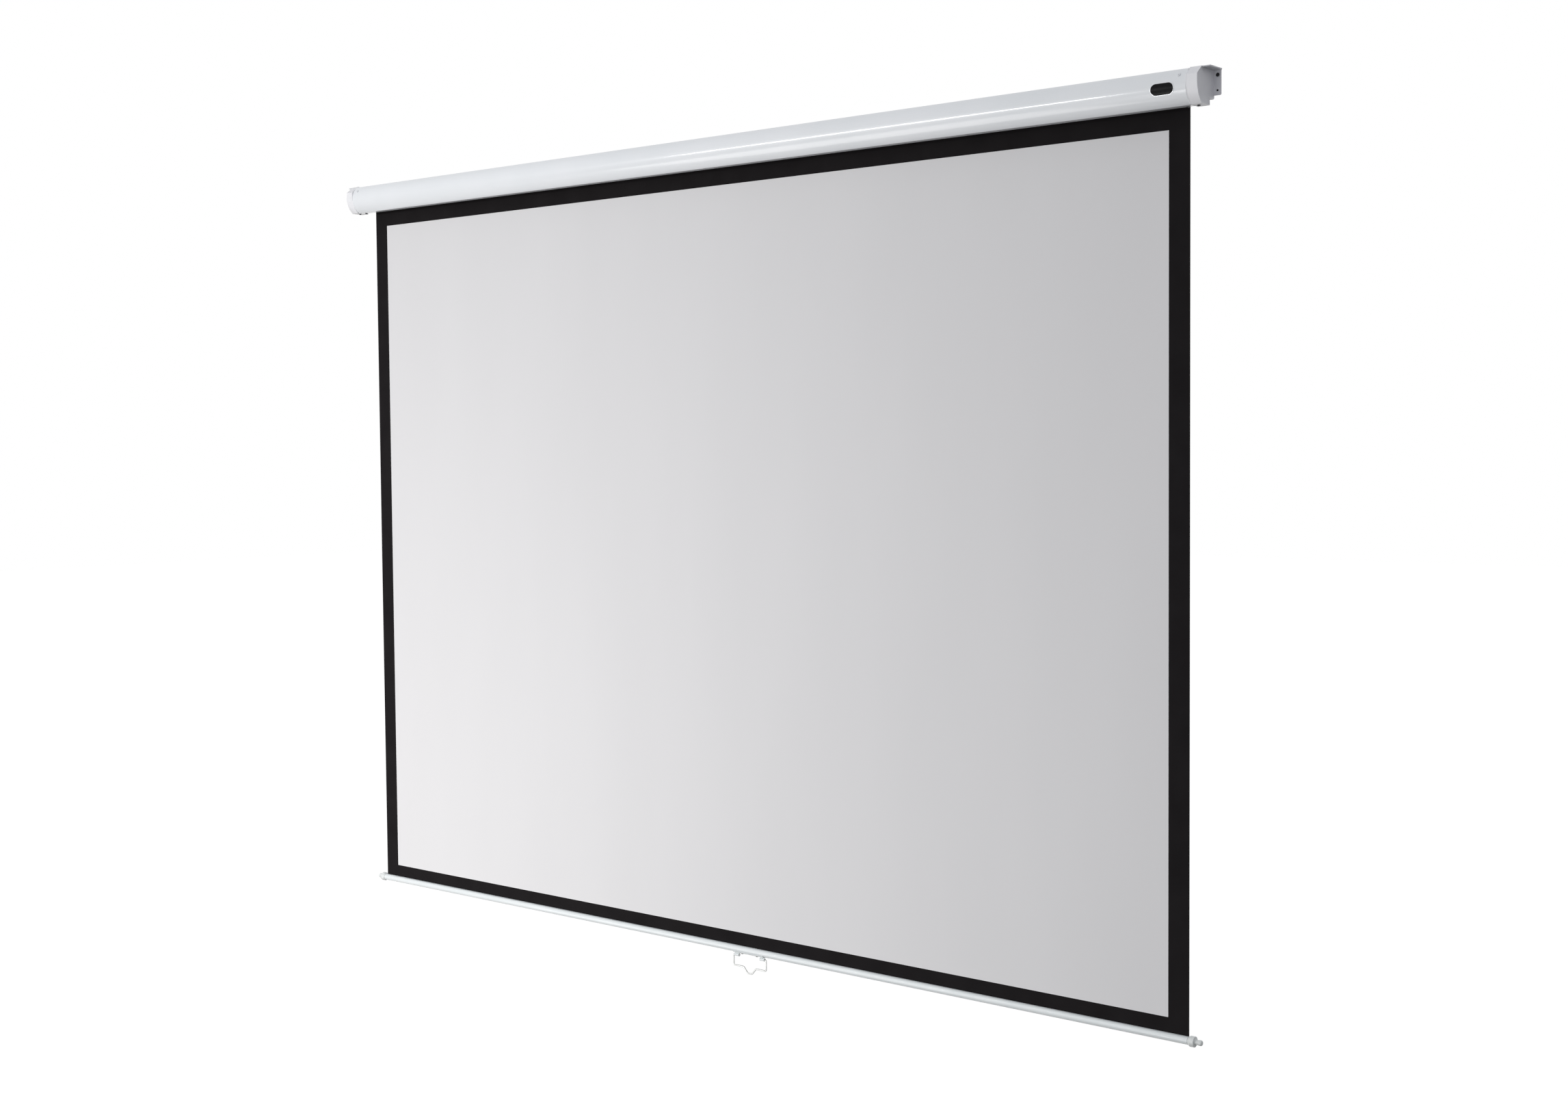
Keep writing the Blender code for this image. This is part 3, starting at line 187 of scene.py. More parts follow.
# Points closer than this are merged, and places are compared within a hair.
MERGE_DISTANCE = 1e-6
HAIR = 1e-5
# Nearly all of a noise's values lie between these.
NOISE_LOW = 0.3
NOISE_HIGH = 0.7


def start_line(name, place):
    """One vertex at a point, in edit mode, to draw a section from."""
    deselect()
    bpy.ops.mesh.primitive_plane_add(size=0.001, location=place)
    piece = bpy.context.active_object
    piece.name = name
    piece.data.name = name
    bpy.ops.object.mode_set(mode="EDIT")
    bpy.ops.mesh.select_mode(type="VERT")
    bpy.ops.mesh.merge(type="CENTER")
    return piece


def draw(*step):
    """Draws what is selected out by a step."""
    bpy.ops.mesh.extrude_region_move(TRANSFORM_OT_translate={"value": step})


def roll(degrees, centre_y, centre_z, steps):
    """Rolls what is selected round an axis along X, from +Y towards +Z."""
    bpy.ops.mesh.spin(steps=steps, angle=math.radians(degrees), center=(0, centre_y, centre_z),
                      axis=(-1, 0, 0))


def pick(piece, kind, test):
    """In edit mode, selects only the faces, edges or vertices whose middle and normal pass a test."""
    bpy.ops.mesh.select_mode(type=kind)
    bpy.ops.mesh.select_all(action="DESELECT")
    bm = bmesh.from_edit_mesh(piece.data)
    for part in {"FACE": bm.faces, "EDGE": bm.edges, "VERT": bm.verts}[kind]:
        if kind == "FACE":
            middle, facing = part.calc_center_median(), part.normal
        elif kind == "EDGE":
            middle, facing = (part.verts[0].co + part.verts[1].co) / 2, part.verts[1].co - part.verts[0].co
        else:
            middle, facing = part.co, part.normal
        part.select_set(bool(test(middle + piece.location, facing)))
    bm.select_flush_mode()
    bmesh.update_edit_mesh(piece.data)


def close_up():
    """Merges doubled points, turns all faces outwards and leaves edit mode."""
    bpy.ops.mesh.select_mode(type="VERT")
    bpy.ops.mesh.select_all(action="SELECT")
    bpy.ops.mesh.remove_doubles(threshold=MERGE_DISTANCE)
    bpy.ops.mesh.normals_make_consistent(inside=False)
    bpy.ops.object.mode_set(mode="OBJECT")


def draw_along(length):
    """Draws the whole section out along X, which ends the drawing of a piece."""
    bpy.ops.mesh.select_all(action="SELECT")
    draw(length, 0, 0)
    close_up()


def select_only(piece):
    """Leaves one piece selected and active."""
    deselect()
    piece.select_set(True)
    bpy.context.view_layer.objects.active = piece


def apply_modifier(piece, kind, **settings):
    """Adds one modifier and applies it at once."""
    bpy.context.view_layer.objects.active = piece
    modifier = piece.modifiers.new(kind.lower(), kind)
    for name, value in settings.items():
        setattr(modifier, name, value)
    bpy.ops.object.modifier_apply(modifier=modifier.name)


def thicken(piece, steel, side=-1):
    """Gives a sheet its thickness, inwards or, with side at 0, to both sides."""
    apply_modifier(piece, "SOLIDIFY", thickness=steel, offset=side, use_even_offset=True)


def ease_edges(piece, width=0, segments=3, sharpest=40):
    """Rounds off the sharp edges, where a width is given, and shades what isn't sharp as one smooth face.

    The large faces lead the shading, or the rounded ends would bend the light along a piece's whole length.
    """
    if width:
        apply_modifier(piece, "BEVEL", width=width, segments=segments, limit_method="ANGLE",
                       angle_limit=math.radians(sharpest))
    select_only(piece)
    bpy.ops.object.shade_smooth_by_angle(angle=math.radians(SMOOTH_ANGLE))
    apply_modifier(piece, "WEIGHTED_NORMAL", mode="FACE_AREA", keep_sharp=True)


def fit(piece, finish, body, slot, *nodes):
    """Puts the place of a finished piece in its mesh, gives it its finish and fixes it to its body."""
    select_only(piece)
    bpy.ops.object.transform_apply(location=True, rotation=True, scale=True)
    if finish:
        piece.data.materials.clear()
        piece.data.materials.append(finish)
    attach(piece, body)
    if nodes:
        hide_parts(*nodes)


def new_finish(name, colour, roughness, **sockets):
    """A material with one Principled shader; sockets are set by name, with _ for a space."""
    finish = bpy.data.materials.new(name)
    finish.use_nodes = True
    shader = finish.node_tree.nodes["Principled BSDF"]
    for socket, value in {"Base_Color": linear(colour), "Roughness": roughness, **sockets}.items():
        shader.inputs[socket.replace("_", " ")].default_value = value
    return finish


def feed(finish, socket, value):
    """Lets a node's output drive one socket of a finish's shader."""
    finish.node_tree.links.new(value, finish.node_tree.nodes["Principled BSDF"].inputs[socket])


def grain(finish, size_mm, detail=2, stretch=(1, 1, 1)):
    """Noise with a grain of a real size, drawn out along an axis where its stretch is above 1."""
    tree = finish.node_tree
    place = add_node(tree, "ShaderNodeTexCoord").outputs["Object"]
    scaled = add_node(tree, "ShaderNodeMapping", {"Vector": place, "Scale": [1 / part for part in stretch]})
    return add_node(tree, "ShaderNodeTexNoise", {"Vector": scaled.outputs[0], "Scale": 1000 / size_mm,
                                                 "Detail": detail}).outputs["Fac"]


def drift(finish, low, high, noise):
    """A value that drifts from low to high over the middle of the noise's range."""
    return add_node(finish.node_tree, "ShaderNodeMapRange",
                    {0: noise, 1: NOISE_LOW, 2: NOISE_HIGH, 3: low, 4: high}).outputs[0]


def cloud_colour(finish, dark, light, size_mm, detail=3, stretch=(1, 1, 1)):
    """Lets the colour drift between two hex colours, in clouds of a real size."""
    share = drift(finish, 0, 1, grain(finish, size_mm, detail, stretch))
    mixed = add_node(finish.node_tree, "ShaderNodeMix", {0: share, 6: linear(dark), 7: linear(light)},
                     data_type="RGBA")
    feed(finish, "Base Color", mixed.outputs[2])


def vary_shine(finish, low, high, size_mm, stretch=(1, 1, 1)):
    """Lets the roughness drift between two values, in patches of a real size."""
    feed(finish, "Roughness", drift(finish, low, high, grain(finish, size_mm, stretch=stretch)))


def raise_pattern(finish, height, depth_mm):
    """Lets a pattern stand up from the surface by a real depth."""
    bump = add_node(finish.node_tree, "ShaderNodeBump",
                    {"Height": height, "Distance": depth_mm / 1000, "Strength": 1.0})
    feed(finish, "Normal", bump.outputs[0])


# Gloss powder coat on steel: sprayed and baked, so it is smooth but for a faint orange peel about 2.5 mm
# across, and its clear top gives a sharp line of light over a softer sheen.
casing_paint = new_finish("gloss_white_powder_coat", "#e9ebee", 0.31, Coat_Weight=0.85, Coat_Roughness=0.10)
cloud_colour(casing_paint, "#e6e9ec", "#ebedf0", size_mm=180)
vary_shine(casing_paint, 0.29, 0.34, size_mm=9)
raise_pattern(casing_paint, grain(casing_paint, size_mm=2.5, detail=1), depth_mm=0.003)

half_casing = SEAM_X - FIT_GAP


def draw_casing_section(depth=0.0, back_edge_z=CASING_BACK_EDGE_Z, slot_edge_y=SLOT_LIP_Y):
    """Draws the casing's section on from its back edge up to the slot, at a depth below its outer face."""
    radius = CASING_FRONT_RADIUS - depth
    corner = max(CASING_CORNER_RADIUS - depth, FIT_GAP)
    top = CASING_TOP_Z - depth
    bottom = CASING_BOTTOM_Z + depth
    rise = math.degrees(math.asin((top - CASING_FRONT_Z) / radius))
    fall = math.degrees(math.asin((CASING_FRONT_Z - bottom) / radius))
    corner_y = CASING_BACK_Y - depth - corner
    draw(0, 0, top - corner - back_edge_z)
    roll(90, corner_y, top - corner, steps=6)
    draw(0, CASING_FRONT_Y - radius * math.cos(math.radians(rise)) - corner_y, 0)
    roll(rise + fall, CASING_FRONT_Y, CASING_FRONT_Z, steps=64)
    draw(0, slot_edge_y - CASING_FRONT_Y + radius * math.cos(math.radians(fall)), 0)


casing = start_line("casing", (-half_casing, CASING_BACK_Y, CASING_BACK_EDGE_Z))
draw_casing_section()
draw(0, 0, SLOT_HEM_HEIGHT)
draw_along(2 * half_casing)
thicken(casing, CASING_STEEL)
ease_edges(casing, SHEET_EDGE, segments=2, sharpest=50)
fit(casing, casing_paint, "casing", "casing_paint", "casing_shell")

# End caps: a white moulding that closes each end of the casing, with a notch at the rear that parks the bar.
# It is injection moulded ABS, a band outside with a bead along the seam and a tongue that plugs into the
# casing. Its outer face is sunk to take the bracket's side plate.
CAP_BAND = 0.0200
CAP_OUTER_X = SEAM_X + 0.0234
CAP_WALL = 0.0022
CAP_SEAM_WALL = 0.0020
CAP_BEAD = 0.0016
CAP_BEAD_STEP = 0.0003
CAP_TOP_Z = 0.0350
CAP_FRONT_Y = -0.0709
CAP_FRONT_RADIUS = 0.0514
CAP_FRONT_ARC_Z = 0.0050
CAP_CHAMFER_TOP_Y = -0.0514
CAP_CHAMFER_LOW_Y = -0.0706
CAP_CHAMFER_LOW_Z = 0.0188
CAP_BACK_Y = -0.0028
NOTCH_FRONT_Y = -0.0187
NOTCH_TOP_Z = -0.0220
TONGUE_LENGTH = 0.0210
TONGUE_WALL = 0.0016
TONGUE_BACK_EDGE_Z = -0.0100
BRACKET_RIM = 0.0022
CAP_EDGE = 0.0006

# Moulded ABS: a satin face off a fine spark-eroded tool, grain about 0.5 mm, drawn at 0.9 mm to show.
white_moulding = new_finish("satin_white_abs", "#f0f0f2", 0.38)
cloud_colour(white_moulding, "#eeeef1", "#f2f2f4", size_mm=40)
vary_shine(white_moulding, 0.34, 0.43, size_mm=6)
raise_pattern(white_moulding, grain(white_moulding, size_mm=0.9, detail=1), depth_mm=0.012)


def cap_face(name, x):
    """The cap's outline as one flat face in edit mode, drawn from the back of the notch."""
    arc_y = CAP_FRONT_Y + CAP_FRONT_RADIUS
    fall = math.asin((CAP_FRONT_ARC_Z - CASING_BOTTOM_Z) / CAP_FRONT_RADIUS)
    piece = start_line(name, (x, CAP_BACK_Y, NOTCH_TOP_Z))
    draw(0, 0, CAP_TOP_Z - NOTCH_TOP_Z)
    draw(0, CAP_CHAMFER_TOP_Y - CAP_BACK_Y, 0)
    draw(0, CAP_CHAMFER_LOW_Y - CAP_CHAMFER_TOP_Y, CAP_CHAMFER_LOW_Z - CAP_TOP_Z)
    draw(0, CAP_FRONT_Y - CAP_CHAMFER_LOW_Y, CAP_FRONT_ARC_Z - CAP_CHAMFER_LOW_Z)
    roll(math.degrees(fall), arc_y, CAP_FRONT_ARC_Z, steps=28)
    draw(0, NOTCH_FRONT_Y - arc_y + CAP_FRONT_RADIUS * math.cos(fall), 0)
    draw(0, 0, NOTCH_TOP_Z - CASING_BOTTOM_Z)
    bpy.ops.mesh.select_all(action="SELECT")
    bpy.ops.mesh.edge_face_add()
    return piece


def inner_face(name, x, rim):
    """The cap's outline set in by a rim."""
    piece = cap_face(name, x)
    bpy.ops.mesh.select_mode(type="FACE")
    bpy.ops.mesh.inset(thickness=rim)
    bpy.ops.mesh.select_all(action="INVERT")
    bpy.ops.mesh.delete(type="FACE")
    bpy.ops.mesh.select_all(action="SELECT")
    return piece


def plate_face(name, x, rim, top_z, back_y):
    """The face inside a rim, run out through the cap's top, along its slope, and through its back."""
    piece = inner_face(name, x, rim)
    lift = top_z - CAP_TOP_Z + rim
    slope = (CAP_CHAMFER_TOP_Y - CAP_CHAMFER_LOW_Y) / (CAP_TOP_Z - CAP_CHAMFER_LOW_Z)
    pick(piece, "VERT", lambda at, facing: at.z > CAP_TOP_Z - rim - FIT_GAP)
    bpy.ops.transform.translate(value=(0, 0, lift))
    pick(piece, "VERT", lambda at, facing: at.z > CAP_TOP_Z - rim and at.y < CAP_CHAMFER_TOP_Y / 2)
    bpy.ops.transform.translate(value=(0, lift * slope, 0))
    pick(piece, "VERT", lambda at, facing: at.y > CAP_BACK_Y - rim - FIT_GAP)
    bpy.ops.transform.translate(value=(0, back_y - CAP_BACK_Y + rim, 0))
    bpy.ops.mesh.select_all(action="SELECT")
    return piece


def cut(piece, tool, operation="DIFFERENCE"):
    """Cuts a piece with another, or joins them to one body, and clears the tool away."""
    if tool.mode == "EDIT":
        close_up()
    apply_modifier(piece, "BOOLEAN", operation=operation, solver="EXACT", object=tool)
    bpy.data.objects.remove(tool)


def make_cap():
    """The right-hand cap, with its bead, rim, hollow, mouth and tongue."""
    cap = cap_face("end_cap_right_moulding", SEAM_X)
    draw(CAP_BEAD, 0, 0)
    bpy.ops.mesh.select_mode(type="FACE")
    bpy.ops.mesh.inset(thickness=CAP_BEAD_STEP)
    draw(CAP_OUTER_X - SEAM_X - CAP_BEAD, 0, 0)
    close_up()
    ease_edges(cap, CAP_EDGE)
    web_x = SEAM_X + CAP_BAND
    recess = plate_face("recess", web_x, BRACKET_RIM - FIT_GAP, CAP_TOP_Z + CAP_WALL, CAP_BACK_Y + CAP_WALL)
    draw(CAP_OUTER_X - web_x + CAP_WALL, 0, 0)
    cut(cap, recess)
    hollow = inner_face("hollow", SEAM_X + CAP_SEAM_WALL, CAP_WALL)
    draw(CAP_BAND - CAP_WALL - CAP_SEAM_WALL, 0, 0)
    cut(cap, hollow)
    tongue_depth = CASING_STEEL + FIT_GAP
    tongue_edge_y = SLOT_LIP_Y - tongue_depth
    tongue = start_line("tongue", (SEAM_X - TONGUE_LENGTH, CASING_BACK_Y - tongue_depth, TONGUE_BACK_EDGE_Z))
    draw_casing_section(tongue_depth, TONGUE_BACK_EDGE_Z, tongue_edge_y)
    draw_along(TONGUE_LENGTH + CAP_SEAM_WALL / 2)
    thicken(tongue, TONGUE_WALL)
    cut(cap, tongue, "UNION")
    mouth_depth = tongue_depth + TONGUE_WALL + FIT_GAP
    mouth = start_line("mouth", (SEAM_X - CAP_SEAM_WALL, CASING_BACK_Y - mouth_depth, TONGUE_BACK_EDGE_Z))
    draw_casing_section(mouth_depth, TONGUE_BACK_EDGE_Z, tongue_edge_y)
    bpy.ops.mesh.select_all(action="SELECT")
    bpy.ops.mesh.edge_face_add()
    draw(2 * CAP_SEAM_WALL + FIT_GAP, 0, 0)
    cut(cap, mouth)
    select_only(cap)
    bpy.ops.object.mode_set(mode="EDIT")
    bpy.ops.mesh.select_all(action="SELECT")
    bpy.ops.mesh.remove_doubles(threshold=HAIR)
    bpy.ops.mesh.dissolve_degenerate(threshold=MERGE_DISTANCE)
    bpy.ops.mesh.select_all(action="SELECT")
    bpy.ops.mesh.fill_holes(sides=4)
    close_up()
    return cap


def mirror_to_left(piece):
    """A copy of a right-hand piece with its own mesh, mirrored to the left end and named for it."""
    select_only(piece)
    bpy.ops.object.transform_apply(location=True, rotation=True, scale=True)
    bpy.ops.object.duplicate(linked=False)
    copy = bpy.context.active_object
    copy.name = piece.name.replace("_right", "_left")
    copy.data.name = copy.name
    copy.scale = (-1, 1, 1)
    bpy.ops.object.transform_apply(location=True, rotation=True, scale=True)
    bpy.ops.object.mode_set(mode="EDIT")
    bpy.ops.mesh.select_all(action="SELECT")
    bpy.ops.mesh.normals_make_consistent(inside=False)
    bpy.ops.object.mode_set(mode="OBJECT")
    return copy


def fit_both_ends(piece, finish, body, slot, node=None):
    """Fixes a right-hand piece and its mirror image, each for the CAD node at its own end, if any."""
    twin = mirror_to_left(piece)
    fit(piece, finish, body, slot, *([node + "_right"] if node else []))
    fit(twin, finish, body, slot, *([node + "_left"] if node else []))


right_cap = make_cap()
ease_edges(right_cap)
fit_both_ends(right_cap, white_moulding, "casing", "cap_moulding", "end_cap")

# Brackets: a folded plate in each cap's outer face that hangs the casing on the wall or from the ceiling.
# It is 2.5 mm steel, with a tab bent outwards along the wall and a flange along the top, punched for the
# screws, the upper hole dished, and coated with white powder after bending.
PLATE_INNER_X = SEAM_X + CAP_BAND + FIT_GAP
BRACKET_STEEL = 0.0025
PLATE_OUTER_X = PLATE_INNER_X + BRACKET_STEEL
TAB_WIDTH = 0.0150
TAB_BOTTOM_Z = -0.0144
TAB_CORNER_RADIUS = 0.0030
FLANGE_WIDTH = 0.0162
HOLE_X = PLATE_OUTER_X + 0.0078
UPPER_HOLE_Z = 0.0236
UPPER_HOLE_RADIUS = 0.0031
UPPER_SINK_RADIUS = 0.0058
UPPER_SINK_DEPTH = 0.0014
LOWER_HOLE_Z = -0.0054
LOWER_HOLE_RADIUS = 0.0022
PLATE_EDGE_RADIUS = 0.0016
FLAT_WITHIN = 0.5

# Powder coat straight on folded steel: less gloss than the casing, with a finer and deeper peel. It is the
# casing's white, but its colour is set greyer as painted shade, for the shade that the bracket stands in.
bracket_paint = new_finish("satin_white_powder_coat", "#dcdce0", 0.42)
cloud_colour(bracket_paint, "#d8d8dd", "#dfdfe3", size_mm=30)
vary_shine(bracket_paint, 0.37, 0.46, size_mm=5)
raise_pattern(bracket_paint, grain(bracket_paint, size_mm=1.6, detail=1), depth_mm=0.012)


def turn(name, place, direction, profile, steps=48):
    """A piece turned round an axis through a point; the profile gives (distance along, radius) pairs."""
    along = Vector(direction).normalized()
    out = along.orthogonal().normalized()
    points = [Vector(place) + along * distance + out * radius for distance, radius in profile]
    piece = start_line(name, points[0])
    for one, two in zip(points, points[1:]):
        draw(*(two - one))
    bpy.ops.mesh.select_all(action="SELECT")
    bpy.ops.mesh.spin(steps=steps, angle=math.tau, center=place, axis=along)
    close_up()
    return piece


def straight(start, end, radius):
    """The profile of a plain rod or hole, from one distance along to another."""
    return [(start, 0), (start, radius), (end, radius), (end, 0)]


def make_bracket():
    """The right-hand bracket, drawn out from its side plate."""
    bracket = plate_face("bracket_right_plate", PLATE_INNER_X, BRACKET_RIM, CAP_TOP_Z, 0)
    draw(BRACKET_STEEL, 0, 0)
    under_flange = CAP_TOP_Z - BRACKET_STEEL
    for at, facing in (((0, -BRACKET_STEEL, 0), (0, 1, 0)), ((0, 0, under_flange), (0, 0, 1)),
                       ((0, 0, TAB_BOTTOM_Z), (0, 0, 1))):
        bpy.ops.mesh.select_all(action="SELECT")
        bpy.ops.mesh.bisect(plane_co=at, plane_no=facing)
    pick(bracket, "FACE", lambda at, facing: at.x > PLATE_OUTER_X - FIT_GAP and (
        at.z > under_flange or (at.y > -BRACKET_STEEL and at.z > TAB_BOTTOM_Z)))
    draw(TAB_WIDTH, 0, 0)
    tab_end_x = PLATE_OUTER_X + TAB_WIDTH - FIT_GAP
    pick(bracket, "FACE", lambda at, facing: at.x > tab_end_x and at.z > under_flange)
    draw(FLANGE_WIDTH - TAB_WIDTH, 0, 0)
    bpy.ops.mesh.select_all(action="SELECT")
    bpy.ops.mesh.remove_doubles(threshold=MERGE_DISTANCE)
    bpy.ops.mesh.normals_make_consistent(inside=False)
    bpy.ops.mesh.dissolve_limited(angle_limit=math.radians(FLAT_WITHIN))
    pick(bracket, "EDGE", lambda at, run: at.x > tab_end_x and abs(at.z - TAB_BOTTOM_Z) < FIT_GAP)
    bpy.ops.mesh.bevel(offset=TAB_CORNER_RADIUS, segments=8)
    pick(bracket, "EDGE", lambda at, run: at.x < PLATE_INNER_X + FIT_GAP
         and (at.z > CAP_TOP_Z - FIT_GAP or at.y > -FIT_GAP))
    bpy.ops.mesh.bevel(offset=PLATE_EDGE_RADIUS, segments=5)
    bpy.ops.object.mode_set(mode="OBJECT")
    ease_edges(bracket, SHEET_EDGE, segments=2)
    for z, radius in ((UPPER_HOLE_Z, UPPER_HOLE_RADIUS), (LOWER_HOLE_Z, LOWER_HOLE_RADIUS)):
        hole = straight(-BRACKET_STEEL, 2 * BRACKET_STEEL, radius)
        cut(bracket, turn("hole", (HOLE_X, -BRACKET_STEEL, z), (0, 1, 0), hole))
    widening = (UPPER_SINK_RADIUS - UPPER_HOLE_RADIUS) / UPPER_SINK_DEPTH
    past = 2 * FIT_GAP
    cone = [(-past, 0), (-past, UPPER_SINK_RADIUS + past * widening),
            (UPPER_SINK_DEPTH + past, UPPER_HOLE_RADIUS - past * widening), (UPPER_SINK_DEPTH + past, 0)]
    cut(bracket, turn("cone", (HOLE_X, -BRACKET_STEEL, UPPER_HOLE_Z), (0, 1, 0), cone))
    ease_edges(bracket)
    return bracket


fit_both_ends(make_bracket(), bracket_paint, "casing", "bracket_paint", "bracket")

# Screws: at each end a painted pan head on the casing's upper front, two black ones below, and a sunk and a
# headless black one that fill the wall tab's holes, so that these show dark. They are steel with a cross
# recess.
# Those through the casing go into the cap's tongue, and the one in the cap's floor holds the bearing block.

# A head is drawn as (distance off the surface, radius) pairs.
PAN_HEAD = [(0, 0.0032), (0.0006, 0.0032), (0.0011, 0.0030), (0.0014, 0.0025), (0.0016, 0.0017),
            (0.0016, 0)]
SUNK_HEAD = [(-0.0014, 0.0029), (-0.0010, 0.0036), (-0.0007, 0.0036), (-0.0004, 0.0032), (-0.0002, 0.0024),
             (-0.0001, 0.0014), (-0.0001, 0)]
NO_HEAD = [(-0.0005, 0.0019), (-0.0003, 0.0017), (-0.0003, 0)]
SCREW_SHANK_RADIUS = 0.0014
WALL_SCREW_SHANK_RADIUS = 0.0019
CASING_SCREW_X = SEAM_X - 0.0162
CASING_SCREW_ANGLE = math.radians(151.8)
FLOOR_SCREW_X = SEAM_X - 0.0135
FLOOR_SCREW_Y = SLOT_LIP_Y - 0.0040
CAP_SCREW_X = SEAM_X + 0.0100
CAP_SCREW_Y = -0.0370
SHORT_SCREW = 0.0050
LONG_SCREW = 0.0120
# An arm of the cross recess: its length and width as shares of the head's radius, how far it reaches in and
# out, how much narrower its foot is, and how far round it is turned.
RECESS_LENGTH = 1.15
RECESS_WIDTH = 0.26
RECESS_REACH = 0.0014
RECESS_TAPER = 0.45
RECESS_TURN = 20

# Painted screw head: sprayed with the casing, with small duller patches.
painted_screw = new_finish("white_painted_screw", "#e6e8eb", 0.38)
vary_shine(painted_screw, 0.33, 0.48, size_mm=1.5)
raise_pattern(painted_screw, grain(painted_screw, size_mm=0.6, detail=1), depth_mm=0.010)

# Black oxide steel: a thin dark conversion coat that lets a soft metal gloss through.
black_screw = new_finish("black_oxide_steel", "#17171a", 0.42, Metallic=0.4)
cloud_colour(black_screw, "#121214", "#222226", size_mm=1.2, detail=2)
vary_shine(black_screw, 0.34, 0.52, size_mm=0.8)


def make_screw(name, place, outwards, length, shank_radius, head):
    """A screw with a cross recess, whose head stands a fit gap off the surface."""
    outwards = Vector(outwards)
    seat = Vector(place) + outwards * FIT_GAP
    profile = [(-length, 0), (-length, shank_radius), (head[0][0], shank_radius)] + head
    screw = turn(name, seat, outwards, profile, steps=32)
    across = head[0][1]
    for quarter in (0, 90):
        deselect()
        bpy.ops.mesh.primitive_cube_add(size=1)
        arm = bpy.context.active_object
        bpy.ops.object.mode_set(mode="EDIT")
        pick(arm, "FACE", lambda at, facing: facing.z < -0.5)
        bpy.ops.transform.resize(value=(RECESS_TAPER, RECESS_TAPER, 1))
        bpy.ops.object.mode_set(mode="OBJECT")
        arm.matrix_world = (Matrix.Translation(seat + outwards * head[-1][0])
                            @ outwards.to_track_quat("Z", "Y").to_matrix().to_4x4()
                            @ Matrix.Rotation(math.radians(quarter + RECESS_TURN), 4, "Z")
                            @ Matrix.Diagonal((RECESS_LENGTH * across, RECESS_WIDTH * across,
                                               RECESS_REACH, 1)))
        bpy.context.view_layer.update()
        cut(screw, arm)
    ease_edges(screw)
    return screw


screw_facing = Vector((0, math.cos(CASING_SCREW_ANGLE), math.sin(CASING_SCREW_ANGLE)))
screw_face = Vector((CASING_SCREW_X, CASING_FRONT_Y, CASING_FRONT_Z)) + screw_facing * CASING_FRONT_RADIUS
for kind, place, outwards, length, head, finish, slot in (
        ("casing_screw", screw_face, screw_facing, SHORT_SCREW, PAN_HEAD, painted_screw, "casing_paint"),
        ("casing_floor_screw", (FLOOR_SCREW_X, FLOOR_SCREW_Y, CASING_BOTTOM_Z), (0, 0, -1), SHORT_SCREW,
         PAN_HEAD, black_screw, "black_screw"),
        ("cap_floor_screw", (CAP_SCREW_X, CAP_SCREW_Y, CASING_BOTTOM_Z), (0, 0, -1), LONG_SCREW,
         PAN_HEAD, black_screw, "black_screw")):
    right_screw = make_screw(kind + "_right_head", place, outwards, length, SCREW_SHANK_RADIUS, head)
    fit_both_ends(right_screw, finish, "casing", slot, kind)
for kind, z, head in (("wall_screw_upper", UPPER_HOLE_Z, SUNK_HEAD),
                      ("wall_screw_lower", LOWER_HOLE_Z, NO_HEAD)):
    right_screw = make_screw(kind + "_right_head", (HOLE_X, -BRACKET_STEEL, z), (0, -1, 0),
                             BRACKET_STEEL - FIT_GAP / 2, WALL_SCREW_SHANK_RADIUS, head)
    fit_both_ends(right_screw, black_screw, "casing", "black_screw")

# Badge: a pill-shaped plate on the casing's front near its right end, bare here.
# It is thin pressed aluminium, curved to the casing and glued on, with a bright edge and a black enamel face.
BADGE_X = 1.1722
BADGE_Z = -0.0028
BADGE_HALF_LENGTH = 0.0245
BADGE_HALF_HEIGHT = 0.0115
BADGE_THICKNESS = 0.0008
BADGE_RIM = 0.0006
BADGE_RECESS = 0.0002
BADGE_FRONT_RADIUS = CASING_FRONT_RADIUS + FIT_GAP + BADGE_THICKNESS
PILL_SIDES = 64

# Black enamel with a fired gloss; it mirrors little of the white room, so it stays deep.
badge_enamel = new_finish("black_enamel", "#0f0f11", 0.20, Specular_IOR_Level=0.1)
cloud_colour(badge_enamel, "#0c0c0d", "#131315", size_mm=4)
vary_shine(badge_enamel, 0.17, 0.24, size_mm=3)
# Polished aluminium edge: bright, with fine rubbing marks that run along the badge.
badge_edge = new_finish("polished_aluminium", "#dcdde0", 0.22, Metallic=1.0)
vary_shine(badge_edge, 0.18, 0.26, size_mm=0.4, stretch=(12, 1, 1))


def shell(name, low, high):
    """A ring round the axis of the casing's front, as long as the badge, between two radii."""
    length = 2 * (BADGE_HALF_LENGTH + FIT_GAP)
    start = (BADGE_X - length / 2, CASING_FRONT_Y, CASING_FRONT_Z)
    ring = [(0, low), (0, high), (length, high), (length, low), (0, low)]
    return turn(name, start, (1, 0, 0), ring, steps=256)


def pill(name, inset):
    """A bar along Y with the badge's outline, smaller all round by an inset."""
    deselect()
    bpy.ops.mesh.primitive_cylinder_add(vertices=PILL_SIDES, radius=BADGE_HALF_HEIGHT - inset,
                                        depth=2 * BADGE_HALF_HEIGHT, location=(BADGE_X, CAP_FRONT_Y, BADGE_Z),
                                        rotation=(math.radians(90), math.radians(180 / PILL_SIDES), 0))
    bar = bpy.context.active_object
    bar.name = name
    bpy.ops.object.transform_apply(location=False, rotation=True, scale=True)
    bpy.ops.object.mode_set(mode="EDIT")
    for way in (1, -1):
        pick(bar, "VERT", lambda at, facing: (at.x - BADGE_X) * way > FIT_GAP)
        bpy.ops.transform.translate(value=(way * (BADGE_HALF_LENGTH - BADGE_HALF_HEIGHT), 0, 0))
    return bar


